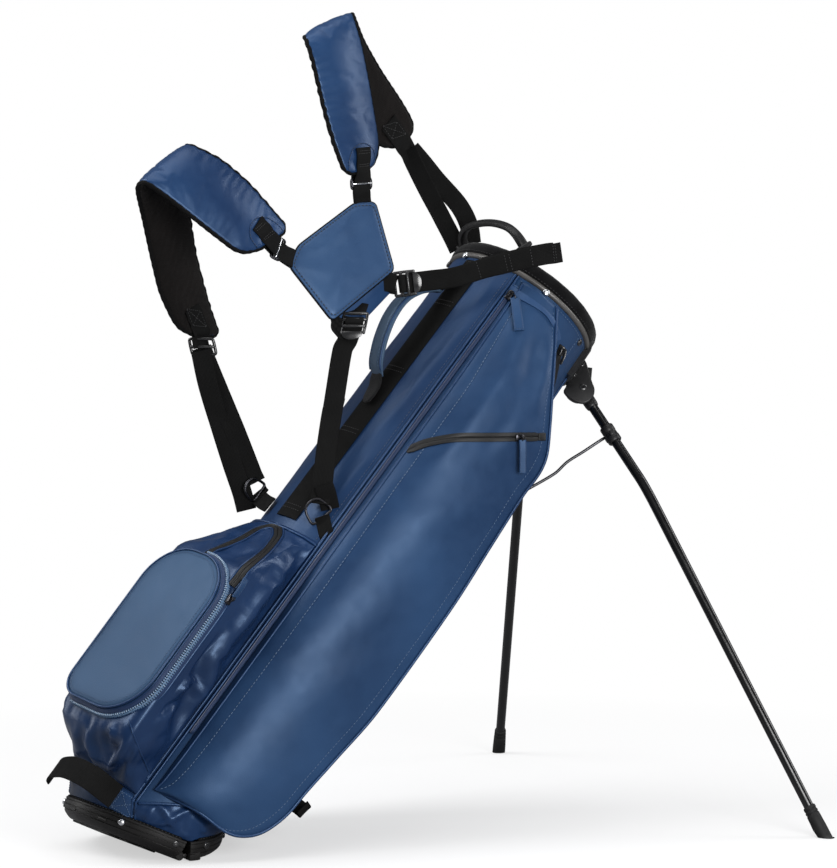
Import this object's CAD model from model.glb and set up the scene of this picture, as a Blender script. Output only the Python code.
# A golf stand bag leaning on its hinged base and two legs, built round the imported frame.
# Lengths are millimetres until a mesh is made; the world is in metres with z up.
# The bag leans towards +x. Its own frame is (s, u, v): s runs up the axis from the base, u runs
# square to it towards the legs, and v is world y, with the near side at -y and the far side at +y.
# Angles round the body are in degrees: 0 underneath, 90 on the far side, 180 on the spine.
import itertools
import math
from types import SimpleNamespace
import bmesh
import bpy
import numpy as np
from mathutils import Matrix, Vector
from mathutils.bvhtree import BVHTree


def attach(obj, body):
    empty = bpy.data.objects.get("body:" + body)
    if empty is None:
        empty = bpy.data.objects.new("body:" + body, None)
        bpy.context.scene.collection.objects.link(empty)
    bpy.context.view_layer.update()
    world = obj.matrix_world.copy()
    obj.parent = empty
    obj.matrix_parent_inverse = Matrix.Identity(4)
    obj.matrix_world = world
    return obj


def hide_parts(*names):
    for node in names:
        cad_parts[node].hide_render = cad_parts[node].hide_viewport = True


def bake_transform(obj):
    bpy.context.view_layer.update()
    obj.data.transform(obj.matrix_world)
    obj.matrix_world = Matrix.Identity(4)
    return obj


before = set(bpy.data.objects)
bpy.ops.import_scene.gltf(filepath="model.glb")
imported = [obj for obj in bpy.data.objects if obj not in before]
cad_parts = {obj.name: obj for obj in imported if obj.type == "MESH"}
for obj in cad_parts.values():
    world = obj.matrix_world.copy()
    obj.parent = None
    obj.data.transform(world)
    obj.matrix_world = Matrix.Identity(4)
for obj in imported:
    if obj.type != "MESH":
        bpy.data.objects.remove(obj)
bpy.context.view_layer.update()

SCENE = bpy.context.scene
DEG = math.pi / 180
SIDES = (("near", -1), ("far", 1))

# ---------------------------------------------------------------- directions and the bag's frame
LEAN = 40.525 * DEG
ALONG = np.array([math.sin(LEAN), 0, math.cos(LEAN)])
BELOW = np.array([math.cos(LEAN), 0, -math.sin(LEAN)])
FAR = np.array([0.0, 1.0, 0.0])
UP = np.array([0.0, 0.0, 1.0])
AXIS_OFFSET = -13.5          # the body's axis along u

# The view: its centre and distance in mm, and unit directions
VIEW_CENTRE = np.array([391.6, 0, 494.6])
VIEW_DISTANCE = 4000
EYE = np.array([-0.5158, -0.8544, 0.0624])      # from the bag to the camera
VIEW_RIGHT = np.array([0.8561, -0.5168, 0])
VIEW_UP = np.array([0.0322, 0.0534, 0.9981])
ACROSS = np.array([0.856, -0.517, 0.0])         # across a strap seen from the front


def bag(s, u, v):
    s, u, v = np.broadcast_arrays(*(np.asarray(c, float) for c in (s, u, v)))
    return s[..., None] * ALONG + (u + AXIS_OFFSET)[..., None] * BELOW + v[..., None] * FAR


def bag_line(table):
    """Points from rows of (s, u, v)."""
    return bag(*np.transpose(table))


def half_u(s):
    return 116 - 15 * np.asarray(s, float) / 880


def half_v(s):
    return 111 - 4 * np.asarray(s, float) / 880


def skin(s, angle, off=0.0):
    """Points on the oval body, lifted outwards by off."""
    s, angle, off = np.broadcast_arrays(*(np.asarray(c, float) for c in (s, angle, off)))
    return bag(s, (half_u(s) + off) * np.cos(angle * DEG), (half_v(s) + off) * np.sin(angle * DEG))


def unit(v):
    v = np.asarray(v, float)
    return v / np.maximum(np.linalg.norm(v, axis=-1, keepdims=True), 1e-9)


def skin_normal(s, angle):
    u_part = np.cos(angle * DEG) / half_u(s)
    v_part = np.sin(angle * DEG) / half_v(s)
    return unit(u_part[..., None] * BELOW + v_part[..., None] * FAR)


def square_to(v, axis):
    """Unit direction of v with its part along the unit axis taken out."""
    v = np.asarray(v, float)
    return unit(v - (v * axis).sum(-1, keepdims=True) * axis)


def towards_eye(v):
    return v if v @ EYE > 0 else -v


def off_axis(points):
    """The part of each point's place that is square to the bag's axis."""
    rel = points - bag(0, 0, 0)
    return rel - (rel @ ALONG)[..., None] * ALONG


def ease(x):
    x = np.clip(x, 0, 1)
    return x * x * (3 - 2 * x)


def turn(count):
    """Angles evenly round a circle."""
    return np.arange(count) / count * 2 * math.pi


def signed_pow(x, power):
    return np.sign(x) * np.abs(x) ** power


def spaced(start, end, step):
    return np.linspace(start, end, int(abs(end - start) / step) + 2)


def from_ends(count):
    """How many steps each row is from the nearer end."""
    return np.minimum(np.arange(count), np.arange(count)[::-1])


# ---------------------------------------------------------------- repeatable noise
HASH = np.array([374761393, 668265263, 1442695041])


def value_noise(points, seed):
    cell = np.floor(points).astype(np.int64)
    part = points - cell
    blend = part * part * part * (part * (part * 6 - 15) + 10)
    total = 0
    for corner in itertools.product((0, 1), repeat=3):
        share = np.where(corner, blend, 1 - blend)
        code = ((cell + np.array(corner)) @ HASH + seed * 974634777) & 0xFFFFFFFF
        code = ((code ^ (code >> 13)) * 1274126177) & 0xFFFFFFFF
        value = ((code ^ (code >> 16)) & 0xFFFF) / 32767.5 - 1
        total = total + share[..., 0] * share[..., 1] * share[..., 2] * value
    return total


def noise(points, seed, octaves=3):
    total, amount = 0, 1.0
    for octave in range(octaves):
        total = total + amount * value_noise(points, seed + 17 * octave)
        points, amount = points * 2.03 + 3.1, amount * 0.5
    return total


# ---------------------------------------------------------------- curves and grids
def arc(path):
    """Length along a path at each of its points."""
    return np.concatenate([[0], np.cumsum(np.linalg.norm(np.diff(path, axis=0), axis=1))])


def sample(places, known, values):
    if values.ndim == 1:
        return np.interp(places, known, values)
    return np.stack([np.interp(places, known, column) for column in values.T], -1)


def respace(loop, count):
    """A closed loop of straight runs, evenly spaced."""
    loop = np.concatenate([loop, loop[:1]])
    lengths = arc(loop)
    return sample(np.linspace(0, lengths[-1], count, endpoint=False), lengths, loop)


def curve(points, step=3.0, closed=False, count=None):
    """Catmull-Rom curve through the points, evenly spaced."""
    p = np.asarray(points, float)
    if len(p) == 2:
        dense = p[0] + (p[1] - p[0]) * np.linspace(0, 1, 40)[:, None]
    else:
        if closed:
            knots = np.concatenate([p[-1:], p, p[:2]])
        else:
            knots = np.concatenate([2 * p[:1] - p[1:2], p, 2 * p[-1:] - p[-2:-1]])
        t = np.linspace(0, 1, 24, endpoint=False)[:, None]
        basis = [2 * t**3 - 3 * t**2 + 1, t**3 - 2 * t**2 + t, -2 * t**3 + 3 * t**2, t**3 - t**2]
        parts = []
        for before, start, end, after in zip(knots, knots[1:], knots[2:], knots[3:]):
            # slopes are held down so that uneven spacing makes no loops
            limit = 1.1 * np.linalg.norm(end - start)
            leave, arrive = (slope * min(1, limit / max(np.linalg.norm(slope), 1e-9))
                             for slope in ((end - before) / 2, (after - start) / 2))
            parts.append(basis[0] * start + basis[1] * leave + basis[2] * end + basis[3] * arrive)
        dense = np.concatenate(parts + [knots[-2][None]])
    lengths = arc(dense)
    if count is None:
        count = max(2, int(round(lengths[-1] / step)) + 1)
    path = sample(np.linspace(0, lengths[-1], count), lengths, dense)
    return path[:-1] if closed else path


def at_knots(values, knots, path):
    """Values given at the knots, carried to the path by arc length."""
    known, places = arc(np.asarray(knots, float)), arc(path)
    return sample(places / places[-1] * known[-1], known, np.asarray(values, float))


def tangents(path, closed=False):
    if closed:
        return unit(np.roll(path, -1, 0) - np.roll(path, 1, 0))
    ends = path[1:2] - path[:1], path[-1:] - path[-2:-1]
    return unit(np.concatenate([ends[0], path[2:] - path[:-2], ends[1]]))


def frames(path, closed=False):
    """Normals and side directions carried along a path without twist."""
    along = tangents(path, closed)
    normals = np.empty_like(path)
    normal = np.array([0.3, -0.8, 0.52])
    for i, direction in enumerate(along):
        normal = square_to(normal, direction)
        normals[i] = normal
    if closed:                  # the closing twist is shared out over the loop
        last = square_to(normals[-1], along[0])
        twist = math.atan2(np.cross(last, normals[0]) @ along[0], last @ normals[0])
        angle = (twist * np.arange(len(path)) / len(path))[:, None]
        normals = normals * np.cos(angle) + np.cross(along, normals) * np.sin(angle)
    return along, normals, np.cross(along, normals)


def smooth(rows, times, normalise=False):
    for _ in range(times):
        middle = (rows[:-2] + 2 * rows[1:-1] + rows[2:]) / 4
        if normalise:
            middle = unit(middle)
        rows = np.concatenate([rows[:1], middle, rows[-1:]])
    return rows


def sweep(path, first, second, xs, ys):
    """Section (xs, ys) set at each point of the path in the directions first and second."""
    return (path[..., None, :] + xs[..., None] * first[..., None, :]
            + ys[..., None] * second[..., None, :])


def grid_normals(grid, outward):
    normals = unit(np.cross(np.gradient(grid, axis=0), np.gradient(grid, axis=1)))
    return normals * np.sign((normals * outward).sum(-1, keepdims=True))


def bilinear(grid, i, j):
    i0 = np.minimum(np.floor(i), grid.shape[0] - 2).astype(int)
    j0 = np.minimum(np.floor(j), grid.shape[1] - 2).astype(int)
    f, g = i - i0, j - j0
    return (grid[i0, j0] * ((1 - f) * (1 - g))[..., None]
            + grid[i0 + 1, j0] * (f * (1 - g))[..., None]
            + grid[i0 + 1, j0 + 1] * (f * g)[..., None]
            + grid[i0, j0 + 1] * ((1 - f) * g)[..., None])


def ribbon_frame(points, across, step):
    """Path of a ribbon with its width directions and normals."""
    points = np.asarray(points, float)
    path = curve(points, step)
    across = np.asarray(across, float)
    if across.ndim > 1:
        across = at_knots(across, points, path)
    along = tangents(path)
    width_dirs = square_to(across, along)
    return path, width_dirs, np.cross(along, width_dirs)


# ---------------------------------------------------------------- mesh building
SLOT_OF = {}                # material name: slot, filled in after the materials


class Mesh:
    """Collects one piece. Grids run rows by columns; UVs are in millimetres."""

    def __init__(self):
        self.points, self.faces, self.uvs, self.mats, self.count = [], [], [], [], 0

    def add_faces(self, quads, uv, mat):
        self.faces += quads.tolist()
        self.uvs.append(uv.reshape(-1, 2))
        self.mats += [mat] * len(quads) if np.isscalar(mat) else list(mat.reshape(-1))

    def grid(self, grid, loop_rows=False, loop_cols=False, mat=0, caps=False, row_uv=None,
             col_uv=None):
        n, m = grid.shape[:2]
        base = self.count
        self.points.append(grid.reshape(-1, 3))
        self.count += n * m
        if row_uv is None:
            gaps = np.linalg.norm(np.roll(grid, -1, 0) - grid, axis=2).mean(1)
            row_uv = np.concatenate([[0], np.cumsum(gaps)])
        if col_uv is None:
            gaps = np.linalg.norm(np.roll(grid, -1, 1) - grid, axis=2).mean(0)
            col_uv = np.concatenate([[0], np.cumsum(gaps)])
        i, j = np.meshgrid(np.arange(n if loop_rows else n - 1),
                           np.arange(m if loop_cols else m - 1), indexing="ij")
        corners = ((i, j), (i + 1, j), (i + 1, j + 1), (i, j + 1))
        quads = np.stack([a % n * m + b % m for a, b in corners], -1).reshape(-1, 4) + base
        uv = np.stack([np.stack([row_uv[a], col_uv[b]], -1) for a, b in corners], -2)
        self.add_faces(quads, uv, mat)
        if caps:
            angle = turn(m)
            for row in (0, n - 1):
                self.faces.append((base + row * m + np.arange(m)).tolist())
                self.uvs.append(np.stack([np.cos(angle), np.sin(angle)], 1) * 3)
                self.mats.append(mat if np.isscalar(mat) else 0)
        return self

    def shell(self, outer, inner):
        """Closed sheet between an outer and an inner grid."""
        n, m = outer.shape[:2]
        base = self.count
        self.grid(np.concatenate([outer, inner[:, ::-1]], 1), loop_cols=True)
        j = np.arange(m - 1)
        for row in (0, n - 1):
            start = base + row * 2 * m
            quads = np.stack([j, j + 1, 2 * m - 2 - j, 2 * m - 1 - j], -1) + start
            self.add_faces(quads, np.zeros((len(quads), 4, 2)), 0)
        return self

    def loft(self, rings):
        return self.grid(np.stack(rings), loop_cols=True, caps=True)

    def tube(self, path, radius, sides=8, closed=False, mat=0, flat=1.0):
        path = np.asarray(path, float)
        r = np.broadcast_to(np.asarray(radius, float), (len(path),)).copy()
        along, normals, across = frames(path, closed)
        if not closed:              # two shrinking rings round off each end
            a, b = along[:1] * r[0], along[-1:] * r[-1]
            path = np.concatenate([path[:1] - a * 0.62, path[:1] - a * 0.4, path,
                                   path[-1:] + b * 0.4, path[-1:] + b * 0.62])
            r = np.concatenate([[r[0] * 0.35, r[0] * 0.78], r, [r[-1] * 0.78, r[-1] * 0.35]])
            normals, across = (np.concatenate([d[:1], d[:1], d, d[-1:], d[-1:]])
                               for d in (normals, across))
        angle = turn(sides)
        rings = sweep(path, normals, across, r[:, None] * np.cos(angle),
                      r[:, None] * flat * np.sin(angle))
        return self.grid(rings, loop_rows=closed, loop_cols=True, mat=mat, caps=not closed)

    def ribbon(self, points, across, width, thick, step, wave=0, seed=1):
        """Flat webbing with rounded selvedges; wave is the height of its unevenness."""
        path, width_dirs, normals = ribbon_frame(points, across, step)
        if np.ndim(width):
            width = at_knots(width, points, path)[:, None]
        xs = np.array([-1, -0.975, -0.86, -0.5, 0, 0.5, 0.86, 0.975,
                       1, 0.975, 0.86, 0.5, 0, -0.5, -0.86, -0.975])
        ys = np.array([0, 0.7, 1, 0.92, 0.9, 0.92, 1, 0.7,
                       0, -0.7, -1, -0.92, -0.9, -0.92, -1, -0.7])
        count = len(path)
        spots = np.stack([np.arange(count) * step / 37.0, np.full(count, seed * 3.3),
                          np.zeros(count)], 1)
        lift = wave * noise(spots, seed, 2)
        return self.loft(sweep(path, width_dirs, normals, xs * width / 2 + 0 * lift[:, None],
                               ys * thick / 2 + lift[:, None]))

    def strip(self, path, normals, half, section, depth):
        """Sheet laid along a path on a surface; section is (share of half width, height)."""
        across = unit(np.cross(tangents(path), normals))
        xs, heights = np.array(section, float).T
        xs = xs * np.broadcast_to(half, (len(path),))[:, None]
        return self.shell(sweep(path, across, normals, xs, heights + 0 * xs),
                          sweep(path, across, normals, xs, -depth + 0 * xs))

    def stitches(self, path, radius, length, gap, lift=EYE, mat=0):
        """A row of thread stitches; lift is the surface normal."""
        path = np.asarray(path, float)
        places = arc(path)
        count = int(places[-1] // (length + gap))
        if count < 1:
            return self
        middle = (np.arange(count) + 0.5) * places[-1] / count
        start = sample(middle - length / 2, places, path)
        end = sample(middle + length / 2, places, path)
        along = unit(end - start)
        normal = square_to(sample(middle, places, np.broadcast_to(lift, path.shape)), along)
        side = np.cross(along, normal)
        angle = turn(6)
        rings = []
        # (share of the length, share of the radius, rise in radii)
        for share, swell, rise in ((0, 0.35, -0.3), (0.22, 0.95, 0.35), (0.78, 0.95, 0.35),
                                   (1, 0.35, -0.3)):
            centre = start + (end - start) * share + normal * (rise * radius)
            rings.append(sweep(centre, normal, side, radius * swell * np.cos(angle),
                               radius * swell * np.sin(angle)))
        base = self.count
        self.points.append(np.stack(rings, 1).reshape(-1, 3))
        self.count += count * 24
        i, j, k = np.meshgrid(np.arange(count), np.arange(3), np.arange(6), indexing="ij")
        after, start = (k + 1) % 6, base + i * 24
        quads = np.stack([start + j * 6 + k, start + (j + 1) * 6 + k, start + (j + 1) * 6 + after,
                          start + j * 6 + after], -1).reshape(-1, 4)
        self.add_faces(quads, np.zeros((len(quads), 4, 2)), mat)
        for ring in (0, 3):
            caps = base + np.arange(count)[:, None] * 24 + ring * 6 + np.arange(6)
            self.add_faces(caps, np.zeros((count * 6, 2)), mat)
        return self

    def block(self, centre, ex, ey, ez, size, bevel=0.6):
        """Box with rounded edges, as stacked rounded rectangles."""
        ex, ey, ez = unit(ex), unit(ey), unit(ez)
        half_x, half_y, half_z = (c / 2 for c in size)
        rings = []
        for z, inset in ((-half_z, bevel), (-half_z + bevel * 0.3, bevel * 0.3),
                         (-half_z + bevel, 0), (half_z - bevel, 0),
                         (half_z - bevel * 0.3, bevel * 0.3), (half_z, bevel)):
            kx, ky = half_x - inset, half_y - inset
            r = min(bevel, kx - 0.01, ky - 0.01)
            rect = []
            for sx, sy, start in ((1, 1, 0), (-1, 1, 90), (-1, -1, 180), (1, -1, 270)):
                for a in (0, 30, 60, 90):
                    angle = (start + a) * DEG
                    rect.append((sx * (kx - r) + r * math.cos(angle),
                                 sy * (ky - r) + r * math.sin(angle)))
            xs, ys = np.array(rect).T
            rings.append(sweep(np.asarray(centre) + z * ez, ex, ey, xs, ys))
        return self.loft(rings)

    def lathe(self, profile, at, axis, sides=24):
        """Turned piece from a profile of (radius, height)."""
        axis = unit(axis)
        normal = square_to([0.31, 0.2, 0.93], axis)
        angle = turn(sides)
        return self.loft([sweep(at + h * axis, normal, np.cross(axis, normal),
                                max(r, 0.02) * np.cos(angle), max(r, 0.02) * np.sin(angle))
                          for r, h in profile])

    def put(self, name, mats, *replaces, body="root", slot=None, sharp=40):
        """Makes the object, riding on body and standing for the CAD nodes in replaces."""
        mats = mats if isinstance(mats, list) else [mats]
        mesh = bpy.data.meshes.new(name)
        mesh.from_pydata((np.concatenate(self.points) / 1000.0).tolist(), [], self.faces)
        uv = np.concatenate(self.uvs).astype(np.float32)
        mesh.uv_layers.new(name="UVMap").data.foreach_set("uv", uv.ravel())
        mesh.polygons.foreach_set("material_index", np.array(self.mats, np.int32))
        bm = bmesh.new()
        bm.from_mesh(mesh)
        bmesh.ops.recalc_face_normals(bm, faces=bm.faces)
        bm.to_mesh(mesh)
        bm.free()
        mesh.polygons.foreach_set("use_smooth", np.full(len(mesh.polygons), True))
        if sharp:
            mesh.set_sharp_from_angle(angle=sharp * DEG)
        for mat in mats:
            mesh.materials.append(mat)
        mesh.update()
        obj = bpy.data.objects.new(name, mesh)
        SCENE.collection.objects.link(obj)
        if body:
            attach(obj, body)
        if replaces:
            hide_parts(*replaces)
        slot = slot or (SLOT_OF.get(mats[0].name) if mats else None)
        return obj


def coords(mesh):
    co = np.zeros(len(mesh.vertices) * 3, np.float32)
    mesh.vertices.foreach_get("co", co)
    return co.reshape(-1, 3).astype(float) * 1000


def line_distance(points, line):
    """Distance from points to a polyline, and the share along it."""
    line = np.asarray(line, float)
    best, share = np.full(len(points), 1e9), np.zeros(len(points))
    lengths = arc(line)
    for i, run in enumerate(np.diff(line, axis=0)):
        t = np.clip(((points - line[i]) @ run) / (run @ run), 0, 1)
        distance = np.linalg.norm(points - (line[i] + t[:, None] * run), axis=1)
        near = distance < best
        best[near] = distance[near]
        share[near] = (lengths[i] + t[near] * np.linalg.norm(run)) / lengths[-1]
    return best, share


def fold(points, line, width, depth, ends=0.25):
    """Height of a soft fold along a line: a ridge with shallow valleys beside it."""
    distance, share = line_distance(points.reshape(-1, 3), line)
    x = distance / width
    height = (depth * (ease(share / ends) * ease((1 - share) / ends)) * (1 - 0.75 * x * x)
              * np.exp(-0.5 * x * x * 2.0))
    return height.reshape(points.shape[:-1])


def add_folds(height, points, folds, *ends):
    return sum((fold(points, *item, *ends) for item in folds), height)


def settle(name, grid, pin, tube, pressure, frame_count, cap, shrink, stiff, bend):
    """The grid settled as pinned cloth without gravity, each point moving no more than cap."""
    obj = Mesh().grid(grid, loop_cols=tube, caps=tube).put(name, [], body=None)
    rest = coords(obj.data)
    group = obj.vertex_groups.new(name="pin")
    weights = np.round(np.clip(pin.reshape(-1), 0, 1), 2)
    for weight in np.unique(weights):
        if weight > 0:
            group.add(np.nonzero(weights == weight)[0].tolist(), float(weight), "REPLACE")
    cloth = obj.modifiers.new("puff", "CLOTH")
    settings = cloth.settings
    settings.quality = 4
    settings.mass = 0.25
    settings.tension_stiffness = settings.compression_stiffness = stiff
    settings.shear_stiffness = stiff * 0.4
    settings.bending_stiffness = bend
    settings.use_pressure = True
    settings.uniform_pressure_force = pressure
    settings.effector_weights.gravity = 0
    settings.vertex_group_mass = "pin"
    settings.pin_stiffness = 2.0
    settings.shrink_min = shrink
    cloth.collision_settings.use_collision = False
    cloth.point_cache.frame_start, cloth.point_cache.frame_end = 1, frame_count + 1
    for number in range(1, frame_count + 1):
        SCENE.frame_set(number)
    evaluated = obj.evaluated_get(bpy.context.evaluated_depsgraph_get())
    settled = coords(evaluated.to_mesh())
    evaluated.to_mesh_clear()
    bpy.data.objects.remove(obj)
    SCENE.frame_set(1)
    if not np.isfinite(settled).all():      # a cloth that has blown up is left at rest
        return rest.reshape(grid.shape)
    move = settled - rest
    length = np.linalg.norm(move, axis=1, keepdims=True)
    settled = rest + move * np.minimum(1, cap / np.maximum(length, 1e-6))
    return (settled / 1000).astype(np.float32).astype(float).reshape(grid.shape) * 1000


def bvh_of(*objects):
    points, faces = [], []
    for obj in objects:
        base = len(points)
        points += [Vector(c) for c in coords(obj.data)]
        faces += [[i + base for i in face.vertices] for face in obj.data.polygons]
    return BVHTree.FromPolygons(points, faces)


def project(bvh, points, inward, lift, reach):
    """Drops points on to a mesh and lifts them off; gives the points and the normals."""
    placed, normals = [], []
    for point, direction in zip(points, np.broadcast_to(inward, np.shape(points))):
        direction = Vector(direction).normalized()
        start = Vector(point) - direction * reach
        hit, normal, _, _ = bvh.ray_cast(start, direction, 2 * reach + 30)
        if hit is None:
            hit, normal, _, _ = bvh.find_nearest(Vector(point))
        if normal.dot(direction) > 0:
            normal = -normal
        placed.append(np.array(hit + normal * lift))
        normals.append(np.array(normal))
    return np.array(placed), np.array(normals)


def drop_view(bvh, points, lift):
    """Points kept on their line of sight and laid on the mesh."""
    return project(bvh, points, -EYE, lift, 60)


def lay_on(bvh, points, lift):
    """A hanging strip that rests on the mesh wherever the mesh is in front of it."""
    laid = drop_view(bvh, points, lift)[0]
    in_front = ((laid - points) @ EYE) > 0
    return np.where(in_front[:, None], laid, points)


def sight(points):
    """Where points sit across the viewing plane, in mm from its centre."""
    rel = points - VIEW_CENTRE - EYE * VIEW_DISTANCE
    depth = -(rel @ EYE) / VIEW_DISTANCE
    return np.stack([rel @ VIEW_RIGHT / depth, rel @ VIEW_UP / depth, 0 * depth], -1)


# ---------------------------------------------------------------- materials
FINISH_INPUTS = {
    "color": "Base Color", "rough": "Roughness", "metal": "Metallic", "normal": "Normal",
    "spec": "Specular IOR Level", "spec_tint": "Specular Tint", "coat": "Coat Weight",
    "coat_rough": "Coat Roughness", "sheen": "Sheen Weight", "sheen_rough": "Sheen Roughness"}


class Shader:
    """A node material. Object coordinates are in metres, UVs in millimetres."""

    def __init__(self, name):
        self.material = bpy.data.materials.new(name)
        self.material.use_nodes = True
        self.tree = self.material.node_tree
        self.tree.nodes.clear()
        self.output = self.node("OutputMaterial")
        self.base = self.node("BsdfPrincipled")
        self.feed(self.output.inputs[0], self.base.outputs[0])
        places = self.node("TexCoord").outputs
        self.obj, self.uv = places["Object"], places["UV"]

    def feed(self, socket, value):
        if isinstance(value, bpy.types.NodeSocket):
            self.tree.links.new(value, socket)
        elif socket.type == "RGBA":
            socket.default_value = (*value, 1)
        else:
            socket.default_value = value

    def node(self, kind, inputs=None, **settings):
        node = self.tree.nodes.new("ShaderNode" + kind)
        for key, value in settings.items():
            setattr(node, key, value)
        for key, value in (inputs or {}).items():
            self.feed(node.inputs[key], value)
        return node

    def scale(self, vector, factors):
        return self.node("VectorMath", {0: vector, 1: factors}, operation="MULTIPLY").outputs[0]

    def noise(self, scale, detail=3.0, rough=0.5, at=None):
        return self.node("TexNoise", {"Vector": at or self.obj, "Scale": scale,
                                      "Detail": detail, "Roughness": rough}).outputs[0]

    def voronoi(self, scale, at=None, random=1.0):
        return self.node("TexVoronoi", {"Vector": at or self.obj, "Scale": scale,
                                        "Randomness": random}).outputs["Distance"]

    def math(self, operation, a, b=0.0):
        return self.node("Math", {0: a, 1: b, 2: 0.0}, operation=operation).outputs[0]

    def weigh(self, a, a_share, b, b_share):
        return self.math("ADD", self.math("MULTIPLY", a, a_share),
                         self.math("MULTIPLY", b, b_share))

    def ramp(self, value, span, to=(0.0, 1.0)):
        return self.node("MapRange", {"Value": value, "From Min": span[0], "From Max": span[1],
                                      "To Min": to[0], "To Max": to[1]}).outputs[0]

    def mix(self, share, a, b):
        return self.node("Mix", {0: share, 6: a, 7: b}, data_type="RGBA").outputs[2]

    def bump(self, height, strength, distance):
        return self.node("Bump", {"Strength": strength, "Distance": distance,
                                  "Height": height}).outputs[0]

    def split(self, vector):
        return self.node("SeparateXYZ", {0: vector}).outputs

    def finish(self, **values):
        for key, value in values.items():
            self.feed(self.base.inputs[FINISH_INPUTS[key]], value)
        return self.material


def rgb(*levels):
    """sRGB levels of 0-255 as linear values."""
    return tuple(level / 255 / 12.92 if level / 255 <= 0.04045
                 else ((level / 255 + 0.055) / 1.055) ** 2.4 for level in levels)


def tint(color, factor):
    return tuple(factor * c for c in color)


def leather(name, dark, light, rough, grain, coat, spec=0.5):
    """Grained leather between two sRGB colours; grain scales the relief."""
    dark, light = rgb(*dark), rgb(*light)
    t = Shader(name)
    patches = t.noise(scale=5.5, rough=0.55)
    mottle = t.noise(scale=70, detail=4, rough=0.6)
    pebbles = t.voronoi(scale=820)
    pores = t.noise(scale=2600, detail=2, rough=0.6)
    color = t.mix(t.ramp(patches, span=(0.35, 0.68)), dark, light)
    color = t.mix(t.ramp(mottle, span=(0.3, 0.8), to=(0, 0.22)), color, light)
    color = t.mix(t.ramp(pebbles, span=(0, 0.65), to=(0.14, 0)), color, tint(dark, 0.45))
    height = t.weigh(pebbles, 0.8, pores, 0.5)
    normal = t.bump(height, strength=0.16 * grain, distance=0.0005)
    rough = t.ramp(mottle, span=(0.2, 0.8), to=(rough - 0.05, rough + 0.07))
    return t.finish(color=color, rough=rough, normal=normal, coat=coat, coat_rough=0.38,
                    spec=spec, spec_tint=(0.42, 0.64, 1.0))


def webbing(name, color, dark, rib=1.7, pick=1.15, rough=0.78):
    """Woven webbing; rib and pick are the weave's spacings in mm across and along."""
    color, dark = rgb(*color), rgb(*dark)
    t = Shader(name)
    x, y, _ = t.split(t.uv)
    ribs = t.math("ABSOLUTE", t.math("SINE", t.math("MULTIPLY", y, math.pi / rib)))
    stagger = t.math("MULTIPLY", t.math("FLOOR", t.math("DIVIDE", y, rib)), 0.5)
    picks = t.math("ADD", t.math("DIVIDE", x, pick), stagger)
    picks = t.math("ABSOLUTE", t.math("SINE", t.math("MULTIPLY", picks, math.pi)))
    weave = t.weigh(ribs, 0.6, picks, 0.4)
    fuzz = t.noise(scale=1500, rough=0.7)
    height = t.math("ADD", weave, t.math("MULTIPLY", fuzz, 0.25))
    shade = t.mix(t.ramp(height, span=(0.25, 1.05)), dark, color)
    worn = t.ramp(t.noise(scale=24), span=(0.35, 0.75), to=(0, 0.35))
    return t.finish(color=t.mix(worn, shade, tint(color, 1.7)), rough=rough, spec=0.07,
                    normal=t.bump(height, strength=0.55, distance=0.0004))


def plastic(name, color, rough=0.38, grain=0.2, wear=(0.035, 0.035, 0.037), spec=0.42):
    """Plastic or thread; wear is the linear colour on raised edges."""
    color = rgb(*color)
    t = Shader(name)
    relief = t.noise(scale=1900, rough=0.7)
    smears = t.noise(scale=45, detail=4, rough=0.6)
    lighter = tuple(min(1, 1.8 * c + 0.004) for c in color)
    shade = t.mix(t.ramp(smears, span=(0.3, 0.75), to=(0, 0.4)), color, lighter)
    edges = t.ramp(t.node("NewGeometry").outputs["Pointiness"], span=(0.52, 0.60))
    shade = t.mix(t.math("MULTIPLY", edges, 0.55), shade, wear)
    rough = t.ramp(smears, span=(0.25, 0.8), to=(rough - 0.07, rough + 0.1))
    return t.finish(color=shade, rough=rough, spec=spec, coat_rough=0.2,
                    normal=t.bump(relief, strength=grain, distance=0.0003))


def metal(name, color, rough, brush, metallic=1.0):
    """Brushed metal in a linear colour; brush widens the roughness."""
    t = Shader(name)
    strokes = t.noise(scale=420, rough=0.6, at=t.scale(t.obj, (1, 1, 6)))
    smears = t.noise(scale=60, rough=0.6)
    shade = t.mix(t.ramp(smears, span=(0.3, 0.8)), color, tint(color, 0.72))
    rough = t.ramp(strokes, span=(0.3, 0.75), to=(rough, rough + brush))
    return t.finish(color=shade, rough=rough, metal=metallic,
                    normal=t.bump(strokes, strength=0.06, distance=0.0002))


def velvet(name, color):
    color = rgb(*color)
    t = Shader(name)
    pile = t.noise(scale=1700, rough=0.8)
    patches = t.noise(scale=38, detail=4, rough=0.6)
    shade = t.mix(t.ramp(patches, span=(0.35, 0.7)), color, tint(color, 2.2))
    shade = t.mix(t.ramp(pile, span=(0.4, 0.7), to=(0, 0.5)), shade, tint(color, 0.4))
    return t.finish(color=shade, rough=0.95, sheen=0.12, sheen_rough=0.4, spec=0.08,
                    normal=t.bump(pile, strength=0.5, distance=0.0006))


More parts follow.
